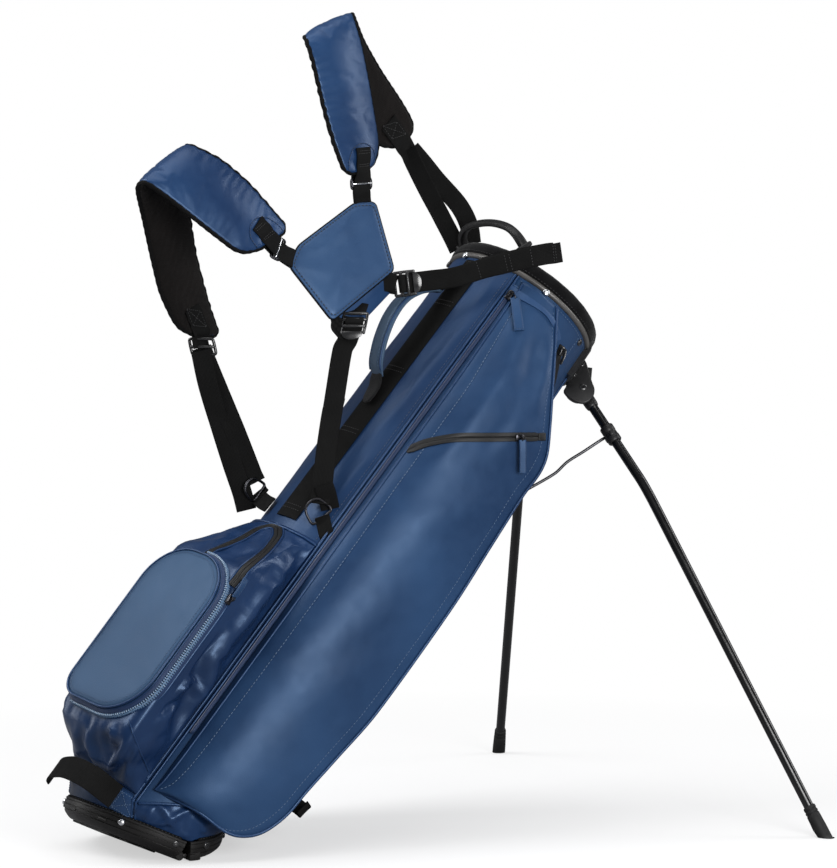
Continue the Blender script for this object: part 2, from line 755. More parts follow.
def spacer_mesh(name, color, hole_color, pitch=2.2):
    """Padded mesh with small holes in rows, pitch mm apart."""
    color, hole_color = rgb(*color), rgb(*hole_color)
    t = Shader(name)
    cells = t.voronoi(scale=1.0, at=t.scale(t.uv, (1 / pitch,) * 3), random=0.12)
    solid = t.ramp(cells, span=(0.22, 0.42))
    fuzz = t.noise(scale=1400, detail=2)
    shade = t.mix(solid, hole_color, color)
    patches = t.ramp(t.noise(scale=30), span=(0.35, 0.7), to=(0, 0.5))
    height = t.math("ADD", solid, t.math("MULTIPLY", fuzz, 0.3))
    return t.finish(color=t.mix(patches, shade, tint(color, 1.6)), rough=0.9, sheen=0.04,
                    spec=0.12, normal=t.bump(height, strength=0.6, distance=0.0007))


def tape(name, color, relief, sheen):
    """Twill tape; its diagonals repeat every 1.1 mm and its cross ribs every 0.8 mm."""
    color = rgb(*color)
    t = Shader(name)
    x, y, _ = t.split(t.uv)
    twill = t.math("SINE", t.math("MULTIPLY", t.math("ADD", x, y), 2 * math.pi / 1.1))
    ribs = t.math("SINE", t.math("MULTIPLY", y, 2 * math.pi / 0.8))
    height = t.weigh(twill, 0.6, ribs, 0.4)
    shade = t.mix(t.ramp(height, span=(-0.8, 0.9)), tint(color, 0.6), color)
    patches = t.ramp(t.noise(scale=40), span=(0.3, 0.8), to=(0, 0.3))
    return t.finish(color=t.mix(patches, shade, tint(color, 1.5)), rough=0.5, sheen=sheen,
                    spec=0.35, normal=t.bump(height, strength=relief, distance=0.0003))


LEATHER = leather("bag_leather", (21, 42, 72), (36, 62, 96),
                  rough=0.42, grain=1.0, coat=0.03, spec=0.38)
SOFT_LEATHER = leather("bag_leather_soft", (14, 32, 62), (24, 48, 84),
                       rough=0.31, grain=0.5, coat=0.10, spec=0.45)
SPINE_LEATHER = leather("spine_leather", (16, 34, 64), (26, 50, 84),
                        rough=0.40, grain=0.9, coat=0.03, spec=0.35)
LID_LEATHER = leather("lid_leather", (40, 62, 88), (52, 76, 104),
                      rough=0.50, grain=1.6, coat=0.0, spec=0.35)
PAD_LEATHER = leather("pad_leather", (18, 40, 74), (32, 60, 98),
                      rough=0.36, grain=0.7, coat=0.06, spec=0.42)
CENTRE_LEATHER = leather("centre_pad_leather", (34, 56, 88), (50, 76, 110),
                         rough=0.38, grain=0.7, coat=0.06, spec=0.42)
PIPING = leather("piping_leather", (18, 38, 70), (27, 52, 88), rough=0.34, grain=0.4, coat=0.08)
HANDLE_LEATHER = leather("handle_leather", (46, 62, 80), (58, 76, 96),
                         rough=0.46, grain=1.2, coat=0.02, spec=0.35)
PATCH = leather("patch_leather", (28, 50, 84), (40, 66, 102), rough=0.42, grain=1.2, coat=0.08)
WEB = webbing("black_webbing", (19, 19, 19), (5, 5, 5))
NARROW_WEB = webbing("black_webbing_narrow", (20, 20, 20), (5, 5, 5), rib=1.4, pick=1.0)
BINDING = webbing("black_binding", (15, 15, 15), (4, 4, 4), rib=1.0, pick=0.9, rough=0.7)
HOOK_LOOP = velvet("hook_loop", (20, 20, 21))
AIR_MESH = spacer_mesh("airflow_mesh", (15, 12, 11), (4, 3, 3))
ZIP_TAPE = tape("zip_tape_blue", (20, 46, 84), relief=0.35, sheen=0.1)
COATED = tape("coated_tape", (12, 12, 13), relief=0.1, sheen=0.0)
TEETH = plastic("zip_teeth_blue", (62, 92, 124), rough=0.24, grain=0.02,
                wear=(0.25, 0.33, 0.42), spec=0.7)
COIL = plastic("zip_coil", (22, 40, 74), rough=0.35, grain=0.05)
THREAD = plastic("thread_navy", (20, 34, 62), rough=0.6, grain=0.0, wear=(0.05, 0.08, 0.15))
LIGHT_THREAD = plastic("thread_light", (58, 84, 120), rough=0.55, grain=0.0,
                       wear=(0.1, 0.15, 0.22))
BLACK_THREAD = plastic("thread_black", (16, 16, 16), rough=0.6, grain=0.0)
MOULDED = plastic("moulded_black", (14, 14, 15), rough=0.42, grain=0.25,
                  wear=(0.02, 0.02, 0.021), spec=0.3)
GLOSSY = plastic("moulded_gloss", (14, 14, 15), rough=0.22, grain=0.08, spec=0.6)
BASE_PLASTIC = plastic("base_black", (13, 12, 12), rough=0.44, grain=0.4,
                       wear=(0.022, 0.021, 0.02), spec=0.3)
RUBBER = plastic("rubber", (13, 13, 13), rough=0.65, grain=0.5, wear=(0.03,) * 3, spec=0.3)
LEG_GLOSS = plastic("leg_gloss_black", (7, 7, 8), rough=0.2, grain=0.0,
                    wear=(0.003, 0.003, 0.0035), spec=0.5)
STEEL = metal("steel", (0.66, 0.67, 0.69), rough=0.2, brush=0.15)
CHROME = metal("bright_wire", (0.78, 0.79, 0.81), rough=0.12, brush=0.1)
BLACK_METAL = metal("black_metal", (0.045, 0.045, 0.05), rough=0.22, brush=0.12)
WIRE = metal("dark_wire", (0.075, 0.075, 0.08), rough=0.28, brush=0.12)
CUFF_TRIM = metal("cuff_trim", rgb(86, 84, 82), rough=0.36, brush=0.12, metallic=0.25)
VELOUR = velvet("rim_velour", (11, 11, 12))
LINING = velvet("lining", (20, 20, 22))

# The slot a piece takes from its first material; threads have none.
for slot_name, slot_materials in {
        "navy_skin": (LEATHER, SOFT_LEATHER, SPINE_LEATHER, PAD_LEATHER, CENTRE_LEATHER, PIPING,
                      HANDLE_LEATHER, PATCH),
        "lid_skin": (LID_LEATHER,), "webbing": (WEB, NARROW_WEB, BINDING, HOOK_LOOP),
        "zip_tape": (ZIP_TAPE, COIL), "coated_tape": (COATED,), "zip_metal": (TEETH, BLACK_METAL),
        "moulded_plastic": (MOULDED, GLOSSY), "base_plastic": (BASE_PLASTIC,),
        "foot_rubber": (RUBBER,), "leg_tube": (LEG_GLOSS,), "steel": (STEEL,), "wire": (WIRE,),
        "cuff_grey": (CUFF_TRIM,), "velour": (VELOUR,), "lining": (LINING,)}.items():
    SLOT_OF.update((material.name, slot_name) for material in slot_materials)

# ---------------------------------------------------------------- body panels
SEAM = 131.0           # angle of the seams beside the spine
UNDER = 30.5           # angle of the seams beside the underside
TOP = 848.0            # station where the panels end
SKIN_THICK = 2.5
REAR_TILT = 25 * DEG   # the rear base tray turns about y


def tilt(p):
    c, s = math.cos(REAR_TILT), math.sin(REAR_TILT)
    p = np.asarray(p, float)
    return np.stack([c * p[..., 0] + s * p[..., 2], p[..., 1],
                     -s * p[..., 0] + c * p[..., 2]], -1)


REAR_X, REAR_UP = tilt([1, 0, 0]), tilt([0, 0, 1])


def skirt_top(angle):
    """Station where the skirt meets the panels."""
    return 20 + 130 * (1 - (np.minimum(np.abs(angle), SEAM) / SEAM) ** 1.4)


def rear_rim(back, y, height):
    back, y, height = np.broadcast_arrays(*(np.asarray(c, float) for c in (back, y, height)))
    return tilt(np.stack([-back, y, height], -1))


def rim_point(angle, inset=0.0, drop=0.0):
    """Points on the rims of the two base trays."""
    c, s = np.cos(angle * DEG), np.sin(angle * DEG)
    y = (106 - inset) * s
    front = np.stack([11 + (77 - inset) * np.maximum(c, 0), y, np.full_like(c, 25.8 - drop)], -1)
    rear = rear_rim((109 - inset) * np.maximum(-c, 0), y, 24.8 - drop)
    share = ease((-c + 0.12) / 0.24)[..., None]
    return front * (1 - share) + rear * share


def panel(name, angles, stations, mat, amp, seed, replaces, folds=(), foot_rows=0):
    """Skin over the body, one row per station; foot_rows carry it down to the rim."""
    top = skin(stations[0], angles, 0.4)
    rows = [rim_point(angles) * (1 - k / foot_rows) + top * (k / foot_rows)
            for k in range(foot_rows)]
    outer = np.stack(rows + [skin(s, angles, 0.4) for s in stations])
    normals = grid_normals(outer, off_axis(outer))
    row_ease = ease(from_ends(outer.shape[0]) / 4.0)[:, None]
    col_ease = ease(from_ends(outer.shape[1]) / 3.0)[None]
    height = add_folds(amp * noise(outer / 70, seed), outer, folds)
    height = np.maximum(height, -1.8) * row_ease * col_ease
    outer = outer + normals * height[..., None]
    return Mesh().shell(outer, outer - normals * SKIN_THICK).put(name, mat, replaces)


def panel_stations(angles, count):
    low = skirt_top(angles)
    return [low + 0.6 + (TOP - low - 0.6) * t for t in np.linspace(0, 1, count)]


# Folds in the spine: points (s, angle), width, height
SPINE_FOLDS = [
    (((800, -139), (700, -142), (560, -147)), 11, 1.3),
    (((770, -150), (640, -150), (520, -158)), 13, -1.1),
    (((560, -139), (470, -143), (430, -150)), 9, 1.2),
    (((840, -146), (780, -143)), 8, 1.2),
    (((450, -137), (425, -147)), 6, 1.3),
    (((520, 165), (700, 160), (820, 158)), 14, 1.2),
    (((430, 150), (640, 146)), 12, -1.1)]
spine = panel("spine_skin", np.linspace(SEAM + 0.4, 360 - SEAM - 0.4, 60),
              list(spaced(22, TOP, 7)), SPINE_LEATHER, 0.8, 3, "spine_panel",
              [(skin(*np.transpose(line)), *size) for line, *size in SPINE_FOLDS], foot_rows=8)
side_angles = np.linspace(-SEAM, -UNDER - 0.4, 54)
near_side = panel("near_side_skin", side_angles, panel_stations(side_angles, 110), LEATHER,
                  0.5, 5, "near_side_panel")
panel("far_side_skin", -side_angles, panel_stations(-side_angles, 110), LEATHER,
      0.5, 6, "far_side_panel")
under_angles = np.linspace(-UNDER, UNDER, 34)
panel("underside_skin", under_angles, panel_stations(under_angles, 100), LEATHER,
      0.6, 7, "underside_panel")

# piped seams: double beside the spine, single beside the underside
for tag, side in SIDES:
    mesh = Mesh()
    for shift, off in ((1.9, 1.9), (-0.7, 2.2)):
        angle = side * (SEAM + shift - 0.4)
        foot = curve([rim_point(angle) + (0, side * 1.5, 2), skin(22, angle, off)], 5)[:-1]
        path = np.concatenate([foot, skin(spaced(22, TOP - 1, 6), angle, off)])
        wander = 0.35 * noise(path / 30, 11 + side, 2)
        mesh.tube(path + wander[:, None] * np.array([-0.2, 0.2, 0.2]), 1.6)
    mesh.put("spine_piping_" + tag, PIPING, sharp=0)
    path = skin(spaced(float(skirt_top(UNDER)) + 3, TOP - 2, 8), side * UNDER, 1.6)
    Mesh().tube(path, 1.8).put("under_piping_" + tag, PIPING, sharp=0)

mesh = Mesh()
stations = spaced(60, 840, 6)
for side in (-1, 1):
    angle = side * (SEAM + 5.2)
    mesh.stitches(skin(stations, angle, 0.9), 0.42, 3.1, 1.8, skin_normal(stations, angle))
mesh.put("spine_stitches", THREAD)


# ---------------------------------------------------------------- loose skirt down to the rims
def skirt():
    angle = np.linspace(-SEAM + 0.3, SEAM - 0.3, 150)
    rise = np.linspace(0, 1, 26)[:, None]
    belly = 3.5 * np.sin(math.pi * rise) * (0.5 + 0.5 * np.abs(np.sin(angle * DEG)))
    top = skin(skirt_top(angle), angle, 0.2)
    outer = rim_point(angle) * (1 - rise[..., None]) + top * rise[..., None]
    outer = outer + unit(off_axis(outer)) * belly[..., None]
    normals = grid_normals(outer, outer - bag(60, 0, 0))
    height = np.zeros(outer.shape[:2])
    rng = np.random.RandomState(4)
    for _ in range(34):                 # gathers that fan up from the rim
        start = rng.uniform(-126, 126)
        end = start + rng.uniform(-16, 16)
        low, high = rng.uniform(0.0, 0.3), rng.uniform(0.55, 1.0)
        x = np.clip((rise - low) / (high - low), 0, 1)
        away = angle - (start + (end - start) * x)
        width = rng.uniform(1.8, 4.2)
        ends = ease((rise - low + 0.1) / 0.25) * ease((high + 0.1 - rise) / 0.25)
        height += (rng.uniform(1.4, 3.4) * ends * (1 - 0.8 * (away / width) ** 2)
                   * np.exp(-(away / width) ** 2))
    height += 1.2 * noise(outer / 22.0, 9)
    edge = ease(np.minimum(rise, 1 - rise) / 0.14) * ease((SEAM - np.abs(angle)) / 5)
    outer = outer + normals * (np.clip(height, -3.5, 5.5) * edge)[..., None]
    cloth = Mesh().shell(outer, outer - normals * 1.8).put(
        "skirt_cloth", SOFT_LEATHER, "front_skirt", body=None, sharp=0)
    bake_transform(cloth)
    angle = np.linspace(-128, 128, 120)
    Mesh().tube(skin(skirt_top(angle) - 1, angle, 2.0), 1.9).put("skirt_piping", PIPING, sharp=0)


skirt()

# ---------------------------------------------------------------- side pockets
POCKET_SEAM = 125.6         # angle of the rear seam
# Knots: s on the rear seam; (s, u, v) of the front edge; (s, angle) where the gusset meets the skin
NEAR_KNOTS = np.array([
    (46, 48.5, -58, -95, 48, 122), (52, 54.5, -21, -123, 54, 103),
    (62, 55.5, 19.7, -134, 57, 86), (74, 63.8, 40.3, -138, 68, 73),
    (92, 82.7, 58.4, -140, 88, 61), (122, 116.2, 71.0, -141, 118, 52),
    (160, 156.4, 75.5, -141, 160, 44), (212, 211.0, 83, -141, 206, 40),
    (288, 286.7, 92.5, -141, 290, 36), (440, 445.5, 95.0, -141, 440, 34.5),
    (540, 542.7, 90.5, -141, 544, 36.5), (618, 619.4, 87.0, -141, 620, 39.5),
    (664, 656, 88.0, -141, 655, 43), (690, 681, 82.0, -140.5, 680, 49),
    (722, 713.4, 63.5, -137, 706, 58), (752, 745.9, 43.9, -132, 742, 73),
    (788, 782.1, 22.9, -125.5, 782, 87), (820, 814, 4.5, -118.5, 812, 98),
    (843, 843, -13, -112.5, 842, 108)])
# The far pocket is shallower. It is built on the near side and mirrored.
FAR_KNOTS = NEAR_KNOTS.copy()
FAR_KNOTS[:, 2] *= 0.97
FAR_KNOTS[:, 3] += 17 * np.minimum(1, (-FAR_KNOTS[:, 3] - 90) / 50)
# Folds: points (s, u, v), width, height
NEAR_POCKET_FOLDS = [
    (((822, -40, -106), (740, -30, -130), (640, -28, -138), (540, -40, -134)), 17, 3.0),
    (((815, -20, -110), (742, 2, -132), (672, 10, -144), (610, 5, -146)), 15, -2.6),
    (((812, -2, -114), (756, 22, -129), (700, 40, -141)), 12, 2.4),
    (((818, -58, -100), (740, -56, -112), (650, -56, -116)), 11, -2.0),
    (((600, 60, -145), (540, 20, -146), (480, -30, -139)), 26, 1.8),
    (((400, 70, -145), (330, 20, -146), (250, -30, -138)), 30, -1.6),
    (((670, 55, -144), (640, 76, -143)), 9, 1.6)]
FAR_POCKET_FOLDS = [
    (((600, 60, -130), (500, 10, -128), (420, -40, -120)), 24, 1.6),
    (((760, 10, -112), (650, 0, -124), (560, -20, -124)), 18, -1.8)]


def side_pocket(tag, knots, crown, folds, seed, flip):
    """Pocket cover; gives the object, its face grid and its line on the skin."""
    front = curve(knots[:, 1:4], 5.0)
    foot_s, foot_angle, rear_s = at_knots(knots[:, [4, 5, 0]], knots[:, 1:4], front).T
    x = np.concatenate([np.linspace(0, 0.12, 9)[:-1], np.linspace(0.12, 0.9, 34)[:-1],
                        np.linspace(0.9, 1, 8)])
    rear_u = (half_u(rear_s) + 3.2) * np.cos(POCKET_SEAM * DEG)
    rear_v = (half_v(rear_s) + 3.2) * np.sin(POCKET_SEAM * DEG)
    width = np.hypot(front[:, 1] - rear_u, front[:, 0] - rear_s)
    s = rear_s[:, None] + (front[:, :1] - rear_s[:, None]) * x
    u = rear_u[:, None] + (front[:, 1:2] - rear_u[:, None]) * x
    v = (rear_v[:, None] + (-front[:, 2:3] - rear_v[:, None]) * x
         + crown * np.clip(width / 161, 0, 1.1)[:, None] * np.sin(math.pi * x ** 0.62))
    face = bag(s, u, -v)
    share = np.linspace(0, 1, 12)[1:]
    foot = skin(foot_s, -foot_angle, 0.9)
    gusset = face[:, -1][:, None] + (foot - face[:, -1])[:, None] * share[None, :, None]
    bow = 2 * np.sin(math.pi * share)[None, :, None]
    gusset = gusset + unit(gusset - bag(front[:, :1], 0, 0)) * bow
    normals = grid_normals(face, -FAR)
    height = 1.3 * noise(face / 95.0, seed, 2) + 0.35 * noise(face / 26.0, seed + 3, 2)
    height = add_folds(height, face, [(bag_line(line), *size) for line, *size in folds])
    face = face + normals * (height * ease(x / 0.07) * ease((1 - x) / 0.06))[..., None]
    outer = np.concatenate([face, gusset], 1)
    share = np.linspace(0, 1, outer.shape[1])
    inner = skin(rear_s[:, None] + (foot_s - rear_s)[:, None] * share,
                 -(POCKET_SEAM + (foot_angle - POCKET_SEAM)[:, None] * share), 0.7)
    obj = Mesh().shell(outer * flip, inner * flip).put(
        tag + "_pocket_cover", LEATHER, tag + "_pocket", sharp=0)
    return obj, face * flip, foot * flip


near_pocket, *near_lines = side_pocket("near", NEAR_KNOTS, 30, NEAR_POCKET_FOLDS, 21,
                                       np.array([1, 1, 1]))
_, *far_lines = side_pocket("far", FAR_KNOTS, 20, FAR_POCKET_FOLDS, 31, np.array([1, -1, 1]))
near_bvh = bvh_of(near_pocket)
for (tag, side), (face, foot) in zip(SIDES, (near_lines, far_lines)):
    edge = face[:, -1]
    mesh = Mesh().tube(edge + unit(edge - face[:, -6]) * 0.6 + (0, side * 0.6, 0), 2.0, 9)
    mesh.tube(face[2:-1, 1] + (0, side * 1.2, 0), 1.5)      # turned rear edge
    mesh.tube(foot, 1.3, 6).put("pocket_piping_" + tag, PIPING, sharp=0)
    normals = grid_normals(face, side * FAR)
    rear, front = normals[6:-4, 6], normals[2:-2, -7]
    mesh = Mesh().stitches(face[6:-4, 6] + rear * 0.5, 0.5, 3.3, 1.7, rear)
    mesh.stitches(face[2:-2, -7] + front * 0.15, 0.34, 3.0, 1.9, front)
    mesh.put("pocket_stitches_" + tag, LIGHT_THREAD)

# ---------------------------------------------------------------- zips of the near side
ZIP_STATIONS = spaced(128, 822, 5)
tape_angles = np.array([-130.6, -129.3, -128.4, -127.4, -126.2])
tape_heights = np.array([1.0, 1.9, 2.3, 1.9, 1.0])
Mesh().shell(skin(ZIP_STATIONS[:, None], tape_angles, tape_heights),
             skin(ZIP_STATIONS[:, None], tape_angles, 0.5)).put(
    "main_zip_tape_cloth", ZIP_TAPE, "main_zip_tape", sharp=0)
Mesh().tube(skin(ZIP_STATIONS, -128.4, 3.0), 1.15).put("main_zip_coil", COIL, sharp=0)


def zip_slider(mesh, at, along, out, size):
    """Adds a slider with its bridge; gives the point where the pull hangs."""
    along = unit(along)
    side = unit(np.cross(along, unit(out)))
    out = np.cross(side, along)
    angle = turn(16)
    # (place along, half width, height) of each ring
    mesh.loft([sweep(at + along * x * size, side, out,
                     size * w * signed_pow(np.cos(angle), 0.6),
                     size * h * 0.5 * signed_pow(np.sin(angle), 0.6))
               for x, w, h in ((-7, 2.4, 2.2), (-5.5, 4.2, 3.6), (-1, 4.6, 4.4), (3, 4.0, 4.2),
                               (6, 5.0, 3.6), (7, 3.4, 2.4))])
    bridge = [at + size * (along * x + out * z)
              for x, z in ((-4.5, 1.9), (-3.0, 4.6), (0, 5.0), (3.2, 3.2))]
    mesh.tube(curve(bridge, 1.0), 0.9 * size)
    return at - along * 3.5 * size + out * 3.6 * size


def pull_tab(name, points, across, width, thick, body, *replaces):
    """Stitched leather pull hanging from a small wire ring."""
    mesh = Mesh().ribbon(points, across, width, thick, 2.0)
    path, width_dirs, normals = ribbon_frame(points, across, 2.0)
    edge, face = width / 2 - 1.4, thick / 2 * 0.93
    for side in (-1, 1):
        for front in (-1, 1):
            row = path + width_dirs * edge * side + normals * face * front
            mesh.stitches(row[1:-1], 0.36, 2.0, 1.0, normals[1:-1] * front, mat=1)
    for front in (-1, 1):
        middle = path[-2] + normals[-2] * face * front
        ends = [middle - width_dirs[-2] * edge, middle + width_dirs[-2] * edge]
        mesh.stitches(ends, 0.36, 2.0, 1.0, normals[-2] * front, mat=1)
    along, angle = unit(path[2] - path[0]), turn(14)
    mesh.tube(sweep(path[0] - along * 1.8, along, normals[0], 3 * np.cos(angle),
                    3 * np.sin(angle)), 0.75, 6, closed=True, mat=2)
    mesh.put(name, [LEATHER, THREAD, BLACK_METAL], *replaces, body=body, sharp=50)


at = skin(818, -127.2, 5.6)
mesh = Mesh()
zip_slider(mesh, at, skin(400, -128.3, 5.2) - skin(812, -128.3, 5.2),
           skin_normal(818, -127.2), 0.95)
mesh.put("main_slider_metal", BLACK_METAL, "main_zip_slider", body="main_slider")
hang = at + (2.5, -9, -4.0) + np.array([(0, 0, 0), (0.6, -2, -12), (1.2, -3, -27), (1.8, -4, -43)])
pull_tab("main_pull_leather", lay_on(near_bvh, hang, 4.6), (1, -0.55, 0), 12.5, 3.0,
         "main_pull", "main_zip_pull")

# slanting zip on the outside of the near pocket: (s, u)
CHEST_ZIP = np.array([(554.4, -84), (566, -77), (580, -68), (611.3, -39), (640, -4),
                      (670.9, 33.9), (683, 49), (690, 57.5)])
# Section of the coated zips: (share of half width, height)
COATED_XS = (-1, -0.93, -0.6, -0.22, -0.1, 0, 0.1, 0.22, 0.6, 0.93, 1)
CHEST_SECTION = list(zip(COATED_XS, (0, 0.9, 1.0, 1.05, 0.75, 0.2, 0.75, 1.05, 1.0, 0.9, 0)))
path, normals = drop_view(near_bvh, curve(bag(*CHEST_ZIP.T, -146), 4.0), 0.5)
path, normals = smooth(path, 4), smooth(normals, 4, normalise=True)
last = len(path) - 1
width = np.interp(np.arange(last + 1), [0, 2, last - 2, last], [7.5, 11.5, 11.5, 8])
Mesh().strip(path, normals, width / 2, CHEST_SECTION, 0.8).put(
    "chest_zip_tape_coated", COATED, "chest_zip_tape", sharp=50)
at = drop_view(near_bvh, bag(668, 30.5, -151.2)[None], 2.2)[0][0]
mesh = Mesh()
zip_slider(mesh, at, bag(611.3, -39, 0) - bag(670.9, 33.9, 0), -FAR, 0.9)
mesh.put("chest_slider_metal", BLACK_METAL, "chest_zip_slider", body="chest_slider")
hang = at + (0, -5.6, -3.0) + np.array([(0, 0, 0), (0, -1, -12), (0, -1, -27), (0, -1, -41)])
pull_tab("chest_pull_leather", lay_on(near_bvh, hang, 3.4), (1, -0.3, 0), 9.5, 3.0,
         "chest_pull", "chest_zip_pull")
along = unit(path[-1] - path[-4])
Mesh().block(path[-1] + normals[-1] * 0.9 + along * 2, along, np.cross(normals[-1], along),
             normals[-1], (12, 10, 1.8), 0.8).put("chest_zip_ends", COATED)

# ---------------------------------------------------------------- ball pocket on the spine side
FACE_TURN = 15 * DEG
OUTWARD = -math.cos(FACE_TURN) * BELOW - math.sin(FACE_TURN) * FAR
SIDEWAYS = math.sin(FACE_TURN) * BELOW - math.cos(FACE_TURN) * FAR
# Outline in section: (outward, sideways)
BALL_OUTLINE = [(95, 62), (140, 70), (170, 70), (176, 60), (176, -60), (170, -70), (52, -103)]
BALL_STATIONS = spaced(30, 411, 4.8)
# How far the pocket stands out by station: (s, share)
BALL_FULLNESS = [(30, 0.0), (44, 0.34), (56, 0.66), (68, 0.88), (80, 0.98), (100, 1), (300, 1),
                 (318, 0.97), (332, 0.83), (345, 0.68), (365, 0.45), (385, 0.26), (400, 0.1),
                 (411, 0)]
SHOULDER_ZIP = bag_line([
    (318, -156, -37), (345, -150, -34), (366, -139, -29), (392, -123.5, -21), (402.5, -117.5, -26),
    (403.8, -113.5, -35), (397, -113.3, -46), (388.6, -115.5, -57), (350, -131, -86),
    (310, -145, -104), (292, -148.5, -106)])
# Pulled folds: points (s, outward, sideways), width, height
BALL_FOLDS = [
    (((300, 150, -72), (240, 120, -84), (180, 100, -90)), 10, 3.5),
    (((160, 150, -74), (120, 120, -84), (80, 90, -92)), 9, -3.5),
    (((120, 160, -72), (90, 130, -80), (60, 100, -90)), 8, 3.5),
    (((72, 162, 2), (58, 138, 0), (46, 118, -4)), 7, -3.6),
    (((73, 160, -18), (58, 134, -20), (46, 116, -18)), 7, 3.8),
    (((72, 160, -40), (58, 136, -42), (46, 116, -38)), 8, 3.0)]
# Creases on the side that is seen: points across the viewing plane (right, up), width, height
BALL_CREASES = [
    (((-150.6, -156.8), (-197.4, -203.6), (-228.7, -246.2), (-257.0, -285.9), (-275.5, -331.3),
      (-288.2, -373.8), (-302.4, -407.9)), 9, 5),
    (((-248.5, -232.0), (-267.0, -263.2), (-279.7, -297.2), (-288.2, -325.6), (-308.1, -365.3),
      (-325.1, -396.5)), 9, -5),
    (((-284.0, -318.5), (-308.1, -327.0), (-330.8, -341.2), (-359.2, -354.0)), 6, 4.5),
    (((-299.6, -339.8), (-325.1, -353.4), (-350.7, -363.9)), 5, -4.5),
    (((-310.9, -305.7), (-285.4, -318.5), (-279.2, -337.0)), 5, 3),
    (((-242.8, -217.8), (-227.2, -203.6)), 5, 3),
    (((-251.4, -229.1), (-257.0, -243.3), (-264.1, -258.9)), 4, -3),
    (((-417.3, -369.6), (-420.2, -393.7), (-409.7, -415.0), (-391.8, -425.5), (-382.4, -414.1),
      (-373.9, -396.5), (-369.1, -380.9)), 6, 5),
    (((-403.2, -379.5), (-398.9, -396.5), (-391.0, -407.9), (-386.1, -393.7)), 6, -4.5),
    (((-393.2, -372.4), (-389.0, -389.4)), 4, 3),
    (((-361.4, -396.5), (-364.8, -415.0)), 4, 2.5),
    (((-430.1, -405.1), (-411.7, -432.0), (-389.0, -437.7), (-369.1, -417.8)), 7, -3.5),
    (((-437.2, -373.8), (-434.4, -405.1), (-425.9, -420.7)), 6, 2.5),
    (((-145.0, -166.7), (-194.6, -234.8), (-234.3, -294.4), (-268.4, -351.1), (-302.4, -416.4),
      (-325.1, -447.6)), 6, -4)]


def pocket(s, out, across):
    """Points in the ball pocket's own frame."""
    s, out, across = np.broadcast_arrays(*(np.asarray(c, float) for c in (s, out, across)))
    return bag(s, 0, 0) + out[..., None] * OUTWARD + across[..., None] * SIDEWAYS


def outline_reach(angle):
    """Distance from the axis to the pocket's outline along a ray."""
    c, s = math.cos(angle), math.sin(angle)
    best = 112.0
    for (n0, t0), (n1, t1) in zip(BALL_OUTLINE[:-1], BALL_OUTLINE[1:]):
        dn, dt = n1 - n0, t1 - t0
        cross = c * dt - s * dn
        if abs(cross) < 1e-9:
            continue
        reach = (n0 * dt - t0 * dn) / cross
        share = (reach * c - n0) / dn if abs(dn) > abs(dt) else (reach * s - t0) / dt
        if reach > 0 and -1e-6 <= share <= 1 + 1e-6:
            best = max(best, reach)
    return best


